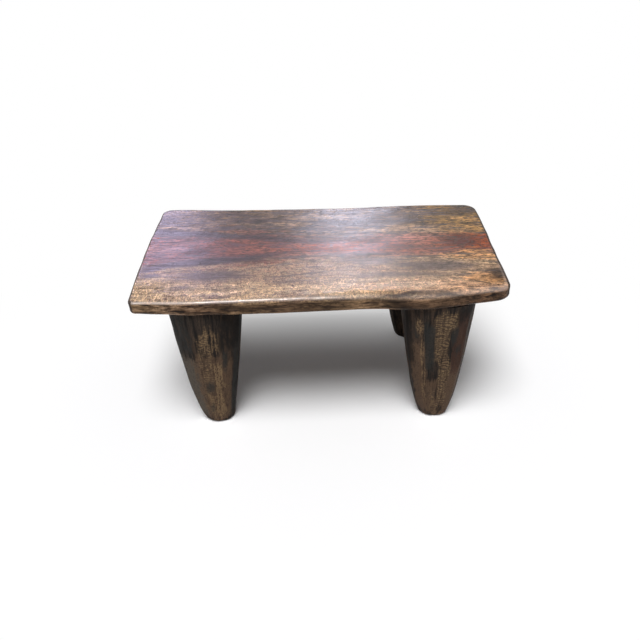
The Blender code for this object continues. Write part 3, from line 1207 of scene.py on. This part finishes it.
BROAD_MARKS = (
    # The pale outer wood along the front, with its brightest spots
    Mark(Tone.GOLD, 10, -125, 340, 92, 0.95),
    Mark(Tone.HONEY, 266, -46, 52, 22, 0.90),
    Mark(Tone.HONEY, -285, -135, 45, 40, 0.85),
    Mark(Tone.HONEY, -110, -145, 60, 26, 0.65),
    Mark(Tone.HONEY, 50, -138, 85, 28, 0.70),
    Mark(Tone.HONEY, -225, -68, 55, 6, 0.90, 8),
    Mark(Tone.PEACH, 170, -140, 105, 17, 0.90),
    Mark(Tone.BLUSH, -225, -142, 80, 20, 0.70),
    Mark(Tone.BLUSH, 145, -134, 45, 11, 0.55),
    # The olive-brown back, and its few golden streaks
    Mark(Tone.OLIVE, 265, 105, 58, 78, 0.95),
    Mark(Tone.GOLD, 175, 58, 55, 15, 0.75, -3),
    Mark(Tone.BRASS, 266, 60, 48, 15, 0.90),
    Mark(Tone.BRASS, 285, 100, 40, 10, 0.75),
    Mark(Tone.UMBER_DARK, 248, 126, 36, 10, 0.55),
    Mark(Tone.UMBER_DARK, 280, 148, 30, 10, 0.60),
    Mark(Tone.UMBER_DARK, 290, 80, 26, 6, 0.40),
    Mark(Tone.GOLD, 40, 58, 60, 10, 0.45),
    Mark(Tone.GOLD, -255, 83, 50, 9, 0.75, -4),
    Mark(Tone.GOLD, -55, 85, 50, 12, 0.40),
    Mark(Tone.GOLD, -20, 120, 60, 12, 0.35),
    # The red heart, wide at the left end and narrow in the middle
    Mark(Tone.HEART, -345, 0, 330, 66, 0.95),
    Mark(Tone.HEART, -140, 6, 130, 34, 0.90),
    Mark(Tone.HEART_RED, 10, -4, 110, 17, 0.95, soft=0.65),
    Mark(Tone.HEART_RED, 185, 0, 150, 33, 0.95, soft=0.60),
    Mark(Tone.HEART_RED, -85, 22, 70, 12, 0.45, soft=0.90),
    Mark(Tone.HEART_PINK, 160, 24, 55, 12, 0.55, soft=0.90),
    Mark(Tone.HEART_PINK, -300, 10, 50, 26, 0.35, soft=0.90),
    Mark(Tone.HEART_ORANGE, 30, 0, 62, 15, 0.60, soft=0.70),
    Mark(Tone.HEART_ORANGE, 305, 8, 85, 27, 1.0),
    Mark(Tone.HEART_ORANGE, -300, 36, 30, 12, 0.60),
    Mark(Tone.HEART_ORANGE, -300, -40, 30, 20, 0.60),
    Mark(Tone.HEART_ORANGE, -30, -2, 35, 6, 0.35),
)
LATE_MARKS = (
    # The clear colours at the right end
    Mark(Tone.HEART_ORANGE, 300, 6, 64, 23, 0.88, soft=0.60),
    Mark(Tone.AMBER, 268, -40, 50, 20, 0.80),
    Mark(Tone.AMBER, 264, -114, 32, 14, 0.60),
    # The dark rims of the heart, and its blotch
    Mark(Tone.INK, -240, 62, 85, 10, 1.0, -9),
    Mark(Tone.INK, -120, 40, 90, 8.5, 0.85, -9),
    Mark(Tone.INK, -20, 22, 60, 9, 0.50, -3),
    Mark(Tone.INK, -190, -45, 105, 15, 0.95, 10),
    Mark(Tone.INK, -80, -20, 60, 6, 0.60, 9),
    Mark(Tone.INK, -210, -8, 24, 12, 0.55),
    Mark(Tone.INK, 70, -28, 60, 6, 0.55),
    Mark(Tone.INK, 155, -4, 30, 6.5, 0.60),
    Mark(Tone.HEART_DARK, 243, 11, 27, 20, 1.0, soft=0.50),
    Mark(Tone.INK, 75, 88, 75, 9, 0.50),
    # The smoky patches in the pale front
    Mark(Tone.SLATE, -176, -93, 54, 16.5, 0.90, 4),
    Mark(Tone.SLATE, -277, -90, 14, 8, 0.85),
    Mark(Tone.SLATE, -232, -130, 28, 6, 0.60, 8),
    Mark(Tone.SLATE, -20, -90, 60, 3, 0.75, 9),
    Mark(Tone.SLATE, -45, -115, 36, 3, 0.65, 4),
    Mark(Tone.SLATE, 85, -56, 60, 11, 0.60, -4),
    Mark(Tone.SLATE, 186, -76, 55, 13, 0.90, -4),
    Mark(Tone.SLATE, 135, -101, 60, 8.5, 0.75),
    Mark(Tone.SLATE, 220, -60, 45, 6, 0.45, -4),
    Mark(Tone.SOOT_AND_SHADE, 284, -104, 11, 15, 0.85, soft=0.55),
    Mark(Tone.SOOT_AND_SHADE, 178, -162, 42, 5.5, 0.62, 3, soft=0.55),
    Mark(Tone.SOOT_AND_SHADE, 262, -152, 34, 4.5, 0.50, 10),
    # The brown back's darker clouds
    Mark(Tone.INK, -120, 110, 55, 10, 0.55),
    Mark(Tone.INK, -162, 140, 26, 8, 0.70),
    Mark(Tone.INK, -285, 118, 22, 20, 0.55),
    Mark(Tone.INK, -60, 72, 60, 6, 0.50, -3),
    # Darker along the front edge, and painted shade at the two front corners
    Mark(Tone.SOOT_AND_SHADE, -296, -172, 26, 9, 0.85),
    Mark(Tone.SOOT_AND_SHADE, -120, -170, 40, 4.5, 0.75),
    Mark(Tone.SOOT_AND_SHADE, 10, -166, 60, 3.5, 0.55),
    Mark(Tone.SOOT_AND_SHADE, 120, -164, 30, 4, 0.70),
    Mark(Tone.SOOT_AND_SHADE, 292, -158, 20, 16, 0.85),
)


@dataclass(frozen=True)
class SeatFinish:
    """Oiled heartwood of a dense African hardwood, hewn flat, scraped and polished by use.

    To the eye that is a red heart with inky rims between smoky golden bands, dark open
    pores, a curly figure in the pale wood, and a soft sheen that the grain breaks up.
    """

    wander: Grain = Grain((200, 45, 45), 3.0)
    wander_reach: float = 0.016
    cloud: Grain = Grain((60, 10, 10), 4.0, 0.6)
    streak: Grain = Grain((65, 7, 5.5), 5.0)
    # Real fibres and pores are well under a millimetre wide, too fine to show in the render,
    # so both are drawn coarser. The size of the curl is set from the photograph.
    fibre: Grain = Grain((20, 5, 3.6), 4.0)
    pore: Grain = Grain((8, 2.8, 2.4), 2.0)
    curl: Grain = Grain((5.4, 9, 9), 2.5, 1.4)
    fray_weights: Pair = (2.2, 0.8)
    figure_rim: Pair = (-0.020, -0.070)
    figure_fade: Pair = (0.120, 0.240)
    figure_fade_share: float = 0.55
    heart_rim: Pair = (0.050, 0.018)
    side_rim: Pair = (0.2615, 0.2540)
    dusk: Coat = Coat(Tone.UMBER_DARK, 0.44, 0.60, 0.80)
    smoke: Coat = Coat(Tone.SLATE, 0.52, 0.66, 0.45)
    smoke_off_heart_share: float = 0.7
    curl_spots: Coat = Coat(Tone.STRAW, 0.53, 0.64, 0.30)
    curl_lines: Coat = Coat(Tone.FIGURE, 0.052, 0.010, 0.85)
    streaks: Coat = Coat(Tone.INK, 0.49, 0.61, 0.75)
    pores: Coat = Coat(Tone.PORE, 0.52, 0.58, 0.85)
    calm_weights: Pair = (-0.55, -0.45)
    curl_in_fibre: float = 0.6
    fibre_readings: Pair = (0.36, 0.64)
    fibre_gains: Pair = (1.90, 0.23)
    quiet_gains: Pair = (-0.35, 0.27)
    face_lines: Coat = Coat(Tone.PORE, 0.47, 0.60, 0.48)
    arris_highlight_share: float = 0.38
    end_grain_and_shade_coat: Coat = Coat(Tone.SOOT_AND_SHADE, 0.70, 1.15, 0.92)
    end_clouds: Coat = Coat(Tone.END_GRAIN, 0.40, 0.60, 0.65)
    end_fray: float = 0.8
    relief_weights: Triple = (1.0, -0.8, 1.5)
    bump: float = 0.60
    arris_bump: float = -0.52
    bump_height: float = 0.0005
    streak_readings: Pair = (0.35, 0.65)
    roughness: Pair = (0.19, 0.30)
    worn_roughness: Pair = (0.45, 0.40)
    specular: float = 0.08

    def material(self) -> bpy.types.Material:
        """Builds the node material on Object coordinates and the seat's own attributes.

        Returns:
            The material.
        """
        material = bpy.data.materials.new("oiled_hardwood_scraped")
        tree = emptied(material)
        place = add(tree, "ShaderNodeTexCoord", out="Object")
        worn = [add(tree, "ShaderNodeAttribute", out="Fac", attribute_name=n) for n in ("roll", "end")]
        arris = add(tree, "ShaderNodeAttribute", out="Fac", attribute_name="arris")
        bent = self.bent(tree, place)
        cloud, streak = self.cloud.on(tree, bent), self.streak.on(tree, bent)
        fibre, pore = self.fibre.on(tree, place), self.pore.on(tree, place)
        curl = self.curl.on(tree, place)
        front, heart, sides = self.zones(tree, place)
        fray = total(tree, fibre, (streak, curl), self.fray_weights)

        colour = self.dusk.over(tree, Tone.UMBER, cloud)
        for mark in BROAD_MARKS:
            colour = mark.over(tree, colour, bent, fray)
        within = total(tree, 1.0, (heart,), (-self.smoke_off_heart_share,))
        colour = self.smoke.over(tree, colour, cloud, within)
        colour = self.curl_spots.over(tree, colour, curl, front)
        ridge = add(tree, MATH, (total(tree, -0.5, (curl,), (1.0,)),), operation="ABSOLUTE")
        colour = self.curl_lines.over(tree, colour, ridge, front)
        for mark in LATE_MARKS:
            colour = mark.over(tree, colour, bent, fray)
        calm = total(tree, 1.0, (front, sides), self.calm_weights)
        ink = add(tree, MIX, {0: heart, 6: self.streaks.tone, 7: Tone.WINE}, 2, data_type="RGBA")
        colour = self.streaks.over(tree, colour, streak, calm, ink)
        colour = self.fibred(tree, colour, (fibre, curl), (front, heart, sides))
        colour = self.pores.over(tree, colour, pore, calm)
        colour = self.face_lines.over(tree, colour, streak, sides)
        # Painted shade: the sides and the underside are multiplied darker than the top.
        shade = {0: sides, 6: colour, 7: Tone.PAINTED_SIDE_SHADE}
        colour = add(tree, MIX, shade, 2, data_type="RGBA", blend_type="MULTIPLY")
        # Painted highlight: a pale line along the middle of the front upper arris, partly a worn pale
        # edge.
        pale_highlight = add(tree, MATH, (arris, self.arris_highlight_share), operation="MULTIPLY")
        colour = add(tree, MIX, {0: pale_highlight, 6: colour, 7: Tone.PALE_WAX_AND_HIGHLIGHT}, 2, data_type="RGBA")
        # Painted shade on the end faces: a near-black coat, clouded with end grain, stands for darker end
        # grain and the shade on the ends.
        end_grain_and_shade = self.end_clouds.over(tree, self.end_grain_and_shade_coat.tone, cloud)
        at_end = total(tree, worn[1], (fibre,), (self.end_fray,))
        colour = self.end_grain_and_shade_coat.over(tree, colour, at_end, tone=end_grain_and_shade)

        relief = total(tree, streak, (fibre, pore, cloud), self.relief_weights)
        strength = total(tree, self.bump, (arris,), (self.arris_bump,))
        inputs = {"Height": relief, "Strength": strength, "Distance": self.bump_height}
        bump = add(tree, "ShaderNodeBump", inputs)
        rough = add(tree, RAMP, (streak, *self.streak_readings, *self.roughness))
        inputs = {
            "Base Color": colour,
            "Roughness": total(tree, rough, tuple(worn), self.worn_roughness),
            "Specular IOR Level": self.specular,
            "Normal": bump,
        }
        end_in_wood(tree, inputs)
        return material

    def zones(self, tree: Tree, place: Socket) -> tuple[Socket, Socket, Socket]:
        """Where the wood differs: the curly front of the top, the red heart, and the sides.

        The sides and the underside also take painted shade.

        Args:
            tree: The material's node tree.
            place: The seat's coordinates.

        Returns:
            How much each point belongs to each of the three.
        """
        x, y, z = add(tree, "ShaderNodeSeparateXYZ", (place,)).node.outputs
        sides = add(tree, RAMP, (z, *self.side_rim), **SMOOTH)
        faded = add(tree, RAMP, (x, *self.figure_fade, 0.0, self.figure_fade_share), **SMOOTH)
        front = add(tree, RAMP, (y, *self.figure_rim), **SMOOTH)
        for zone in (sides, faded):
            front = add(tree, MATH, (front, total(tree, 1.0, (zone,), (-1.0,))), operation="MULTIPLY")
        off_middle = add(tree, MATH, (y,), operation="ABSOLUTE")
        heart = add(tree, RAMP, (off_middle, *self.heart_rim), **SMOOTH)
        return front, heart, sides

    def bent(self, tree: Tree, place: Socket) -> Socket:
        """The coordinates, pushed back and forth across the grain so that streaks wander.

        Args:
            tree: The material's node tree.
            place: The seat's coordinates.

        Returns:
            The new coordinates.
        """
        broad = self.wander.on(tree, place)
        shift = total(tree, -self.wander_reach, (broad,), (2 * self.wander_reach,))
        across = add(tree, "ShaderNodeCombineXYZ", {1: shift})
        return add(tree, "ShaderNodeVectorMath", (place, across), operation="ADD")

    def fibred(
        self, tree: Tree, colour: Socket, grains: tuple[Socket, Socket], zones: tuple[Socket, ...]
    ) -> Socket:
        """Makes single fibres lighter or darker, and less so in the front, heart and sides.

        In the front the fibres give way to curls.

        Args:
            tree: The material's node tree.
            colour: What lies below.
            grains: The fibre and the curl.
            zones: The front, the heart and the sides.

        Returns:
            The new colour.
        """
        fibre, curl = grains
        quiet = zones[0]
        for zone in zones[1:]:
            quiet = add(tree, MATH, (quiet, zone), operation="MAXIMUM")
        curled = total(tree, curl, (fibre,), (-1.0,))
        curled = add(tree, MATH, (curled, zones[0]), operation="MULTIPLY")
        reading = total(tree, fibre, (curled,), (self.curl_in_fibre,))
        gains = [total(tree, at, (quiet,), (by,)) for at, by in zip(self.fibre_gains, self.quiet_gains)]
        gain = add(tree, RAMP, (reading, *self.fibre_readings, *gains))
        return add(tree, "ShaderNodeVectorMath", {0: colour, 3: gain}, operation="SCALE")


@dataclass(frozen=True)
class LegFinish:
    """The same hardwood, hewn and stained nearly black, then rubbed by handling.

    To the eye that is a dull near-black skin with long upright fibres, and golden-brown
    patches where the dark staining has worn through, crossed by the ripples of a scraping blade.
    Some near-black patches, on inner flanks and at the tops under the seat, are painted shade.
    """

    # Real fibres and specks are too fine to show in the render, so these are drawn coarser
    fibre: Grain = Grain((3.2, 3.2, 90), 5.0)
    band: Grain = Grain((12, 12, 120), 3.0)
    blotch: Grain = Grain((9, 9, 16), 3.0, 0.5)
    speck: Grain = Grain((2.2, 2.2, 3.2), 3.0)
    fine_weights: Pair = (0.5, 0.5)
    light: Coat = Coat(Tone.RUBBED_LIGHT, 0.43, 0.61)
    dark: Coat = Coat(Tone.STAIN_WORN, 0.50, 0.42, 0.75)
    valleys: Coat = Coat(Tone.STAIN_WORN, 0.35, -0.55, 0.80)
    fibres: Coat = Coat(Tone.STAIN_WORN, 0.38, 0.64, 0.95)
    bands: Coat = Coat(Tone.BROWN_WORN, 0.46, 0.62, 0.60)
    specks: Coat = Coat(Tone.STAIN_AND_SHADE, 0.48, 0.36, 0.45)
    patch_fray_weights: Pair = (1.8, 1.4)
    patch_coats: tuple[tuple[Wear, Coat], ...] = (
        (Wear.GREY, Coat(Tone.GREY_WORN, 1.85, 2.45, 0.80)),
        (Wear.BROWN, Coat(Tone.BROWN_BARE, 1.85, 2.45, 0.78)),
        (Wear.RED, Coat(Tone.RED_BROWN, 1.85, 2.45, 0.75)),
        (Wear.RUBBED, Coat(Tone.RUBBED, 1.85, 2.45, 0.80)),
        (Wear.RIPPLED, Coat(Tone.RUBBED, 1.85, 2.45, 0.82)),
        (Wear.SOOT_AND_SHADE, Coat(Tone.BLUE_BLACK, 1.85, 2.45, 0.80)),
        (Wear.STAIN_AND_SHADE, Coat(Tone.STAIN_AND_SHADE, 1.85, 2.45, 0.85)),
    )
    bump: float = 0.6
    bump_height: float = 0.0008
    roughness: float = 0.60
    specular: float = 0.06

    def material(self) -> bpy.types.Material:
        """Builds the node material on Object coordinates and the leg's own attributes.

        Returns:
            The material.
        """
        material = bpy.data.materials.new("stained_hardwood_hewn")
        tree = emptied(material)
        place = add(tree, "ShaderNodeTexCoord", out="Object")
        grains = (self.fibre, self.band, self.blotch, self.speck)
        fibre, band, blotch, speck = (grain.on(tree, place) for grain in grains)
        ripple = add(tree, "ShaderNodeAttribute", out="Fac", attribute_name="ripple")
        fine = total(tree, 0.0, (fibre, speck), self.fine_weights)
        worn = self.light.over(tree, Tone.RUBBED, fine)
        varied = {
            Wear.RUBBED: self.dark.over(tree, worn, fine),
            Wear.RIPPLED: self.valleys.over(tree, worn, ripple),
        }
        colour = self.fibres.over(tree, Tone.STAIN_AND_SHADE, fibre)
        colour = self.bands.over(tree, colour, band)
        for wear, coat in self.patch_coats:
            patch = add(tree, "ShaderNodeAttribute", out="Fac", attribute_name=wear.value)
            frayed = total(tree, patch, (fibre, blotch), self.patch_fray_weights)
            colour = coat.over(tree, colour, frayed, tone=varied.get(wear))
        colour = self.specks.over(tree, colour, speck)
        relief = add(tree, MATH, (fibre, speck), operation="ADD")
        inputs = {"Height": relief, "Strength": self.bump, "Distance": self.bump_height}
        inputs = {
            "Base Color": colour,
            "Roughness": self.roughness,
            "Specular IOR Level": self.specular,
            "Normal": add(tree, "ShaderNodeBump", inputs),
        }
        end_in_wood(tree, inputs)
        return material


@dataclass(frozen=True)
class WedgeFinish:
    """Split pale hardwood, left raw: straw-coloured, with straight fibres and no sheen."""

    # Drawn coarser than real fibres, which are too fine to show
    fibre: Grain = Grain((0.8, 0.8, 12), 3.0)
    lines: Coat = Coat(Tone.PALE_WEDGE_LINE, 0.4, 0.7, 0.9)
    roughness: float = 0.8

    def material(self) -> bpy.types.Material:
        """Builds the node material on Object coordinates.

        Returns:
            The material.
        """
        material = bpy.data.materials.new("pale_hardwood_split")
        tree = emptied(material)
        place = add(tree, "ShaderNodeTexCoord", out="Object")
        colour = self.lines.over(tree, Tone.PALE_WEDGE, self.fibre.on(tree, place))
        end_in_wood(tree, {"Base Color": colour, "Roughness": self.roughness})
        return material


@dataclass(frozen=True)
class Viewpoint:
    """Where the photograph was taken from: a standing view, looking down on the front."""

    place: Triple = (-0.0137, -1.0768, 0.8294)
    yaw_deg: float = 0.642
    pitch_deg: float = 33.589
    roll_deg: float = -1.050
    focal_px: float = 701.09
    sensor: float = 36.0

    def make_camera(self) -> None:
        """Makes the camera and gives it to the scene.

        It looks forward by the yaw and down by the pitch, and is then rolled about the
        line of sight.
        """
        yaw, pitch, roll = (math.radians(v) for v in (self.yaw_deg, self.pitch_deg, self.roll_deg))
        ahead = math.cos(pitch)
        forward = Vector((math.sin(yaw) * ahead, math.cos(yaw) * ahead, -math.sin(pitch)))
        level = Vector((math.cos(yaw), -math.sin(yaw), 0.0))
        upright = level.cross(forward)
        right = math.cos(roll) * level + math.sin(roll) * upright
        up = math.cos(roll) * upright - math.sin(roll) * level
        data = bpy.data.cameras.new("photo_view")
        data.sensor_width = self.sensor
        data.lens = self.focal_px * self.sensor / PHOTO_SIDE
        camera = bpy.data.objects.new("photo_view", data)
        turn = Matrix((right, up, -forward)).transposed().to_4x4()
        camera.matrix_world = Matrix.Translation(self.place) @ turn
        bpy.context.scene.collection.objects.link(camera)
        bpy.context.scene.camera = camera


@dataclass(frozen=True)
class Lamp:
    """One soft lamp that faces a point.

    With a size it is a panel that lights only the gloss, as a window or a pale wall does
    in an oiled board. Without one it is a broad sun, as wide as its spread in degrees.
    """

    name: str
    place: Triple
    aim: Triple
    power: float
    size: Pair = (0.0, 0.0)
    tone: Tone = Tone.WHITE
    spread: float = 0.0

    def make(self) -> None:
        """Makes the lamp and turns it to the point that it faces."""
        panel = self.size[0] > 0
        data = bpy.data.lights.new(self.name, "AREA" if panel else "SUN")
        data.energy = self.power
        data.color = self.tone.linear[:3]
        if panel:
            data.shape = "RECTANGLE"
            data.size, data.size_y = self.size
        else:
            data.angle = math.radians(self.spread)
        light = bpy.data.objects.new(self.name, data)
        light.location = self.place
        towards = Vector(self.aim) - Vector(self.place)
        light.rotation_euler = towards.to_track_quat("-Z", "Y").to_euler()
        light.visible_camera = False
        light.visible_diffuse = not panel
        bpy.context.scene.collection.objects.link(light)


LAMPS = (
    Lamp("overhead_light", (-0.32, -1.01, 3.0), (0.0, 0.02, 0.0), 2.75, spread=32),
    Lamp("window_sheen", (0.24, 3.1, 1.6), (0.08, 0.10, 0.266), 25, (0.46, 0.8), Tone.SKY),
    Lamp("side_sheen", (-1.16, 2.9, 1.6), (-0.25, 0.0, 0.266), 35, (0.9, 0.8), Tone.LILAC),
    Lamp("front_sheen_left", (-0.35, 2.6, 2.3), (-0.10, -0.14, 0.266), 21, (1.3, 0.8), Tone.LILAC_PALE),
    Lamp("front_sheen_right", (0.45, 2.3, 2.35), (0.12, -0.14, 0.266), 38, (0.9, 1.0), Tone.CREAM),
    Lamp("edge_gleam", (-0.46, -1.73, 2.83), (-0.12, -0.16, 0.266), 760, (1.2, 0.5)),
)


@dataclass(frozen=True)
class Studio:
    """A plain white studio: a pale floor, soft lamps and a white surround.

    The floor keeps its shadow near the stool, and from near to far fades to pure white.
    """

    floor_half: float = 30.0
    fade_centre: Triple = (0.0, -0.30, 0.0)
    fade_stretch: Triple = (2.0, 1.0, 1.0)
    fade: Pair = (0.33, 0.70)
    surround_light: float = 0.20

    def build(self) -> None:
        """Makes the camera, the lamps, the floor and the world."""
        Viewpoint().make_camera()
        for lamp in LAMPS:
            lamp.make()
        self.make_floor()
        self.make_world()
        bpy.context.scene.view_settings.view_transform = "Standard"

    def seen_directly(self, tree: Tree) -> Socket:
        """One for rays from the camera, or by way of gloss or glass, and zero for others.

        Args:
            tree: The node tree of the floor or the world.

        Returns:
            That one or zero.
        """
        path = add(tree, "ShaderNodeLightPath").node
        seen = path.outputs["Is Camera Ray"]
        for name in ("Is Glossy Ray", "Is Transmission Ray"):
            seen = add(tree, MATH, (seen, path.outputs[name]), operation="MAXIMUM")
        return seen

    def make_floor(self) -> None:
        """Makes the pale floor, which keeps the shadow near the stool and is white far off."""
        mesh = bpy.data.meshes.new("floor")
        reach = self.floor_half
        corners = [(-reach, -reach, 0), (reach, -reach, 0), (reach, reach, 0), (-reach, reach, 0)]
        mesh.from_pydata(corners, [], [(0, 1, 2, 3)])
        floor = bpy.data.objects.new("floor", mesh)
        bpy.context.scene.collection.objects.link(floor)
        material = bpy.data.materials.new("matt_white_paper")
        tree = emptied(material)
        place = add(tree, "ShaderNodeTexCoord", out="Object")
        inputs = {"Vector": place, "Location": self.fade_centre, "Scale": self.fade_stretch}
        oval = add(tree, "ShaderNodeMapping", inputs, vector_type="TEXTURE")
        away = add(tree, "ShaderNodeVectorMath", (oval,), 1, operation="LENGTH")
        share = add(tree, RAMP, (away, *self.fade), **SMOOTH)
        share = add(tree, MATH, (share, self.seen_directly(tree)), operation="MULTIPLY")
        matt = add(tree, "ShaderNodeBsdfDiffuse", (Tone.PAPER,))
        glow = add(tree, "ShaderNodeEmission", (Tone.WHITE,))
        mixed = add(tree, "ShaderNodeMixShader", (share, matt, glow))
        add(tree, "ShaderNodeOutputMaterial", (mixed,))
        mesh.materials.append(material)

    def make_world(self) -> None:
        """Makes the surround: white where it is seen, and dimmer where it lights."""
        world = bpy.data.worlds.new("white_surround")
        tree = emptied(world)
        strength = add(tree, RAMP, (self.seen_directly(tree), 0.0, 1.0, self.surround_light, 1.0))
        back = add(tree, "ShaderNodeBackground", (Tone.WHITE, strength))
        add(tree, "ShaderNodeOutputWorld", (back,))
        bpy.context.scene.world = world


def make_legs(joint: Joint, seat_low: Vector) -> list[Leg]:
    """Makes the four legs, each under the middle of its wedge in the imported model.

    Args:
        joint: The sizes of the joint that all legs share.
        seat_low: The lowest corner of the seat.

    Returns:
        The legs, front pair first.
    """
    legs = []
    for plan in LEG_PLANS:
        name = plan.name
        _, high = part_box(f"leg_{name}")
        wedge_low, wedge_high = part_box(f"fox_wedge_{name}")
        middle = (wedge_low + wedge_high) / 2
        legs.append(Leg(plan, joint, (middle.x, middle.y), seat_low.z, high.z))
    return legs


def put_on(piece: bpy.types.Object, material: bpy.types.Material, node: str) -> None:
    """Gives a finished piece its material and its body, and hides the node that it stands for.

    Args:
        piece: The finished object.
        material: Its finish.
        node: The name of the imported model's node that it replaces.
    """
    piece.data.materials.clear()
    piece.data.materials.append(material)
    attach(piece, BODY)
    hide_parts(node)
    LOG.info("%s: %d faces, replaces %s", piece.name, len(piece.data.polygons), node)


def main() -> None:
    """Loads the frame, builds and dresses each piece, lights the studio and logs each piece's faces."""
    logging.basicConfig(level=logging.INFO, format="%(message)s")
    for leftover in list(bpy.data.objects):
        bpy.data.objects.remove(leftover)
    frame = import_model()
    joint = Joint()
    seat_low, seat_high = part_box("seat_slab")
    legs = make_legs(joint, seat_low)
    seat = Seat(seat_low, seat_high, joint).build([leg.top for leg in legs])
    put_on(seat, SeatFinish().material(), "seat_slab")
    stained = LegFinish().material()
    for leg in legs:
        put_on(leg.build(), stained, f"leg_{leg.plan.name}")
    raw = WedgeFinish().material()
    for name, node in frame["nodes"].items():
        if name.startswith("fox_wedge"):
            node.data.materials.clear()
            node.data.materials.append(raw)
            LOG.info("%s: keeps its solid", name)
    Studio().build()


if __name__ == "__main__":
    main()
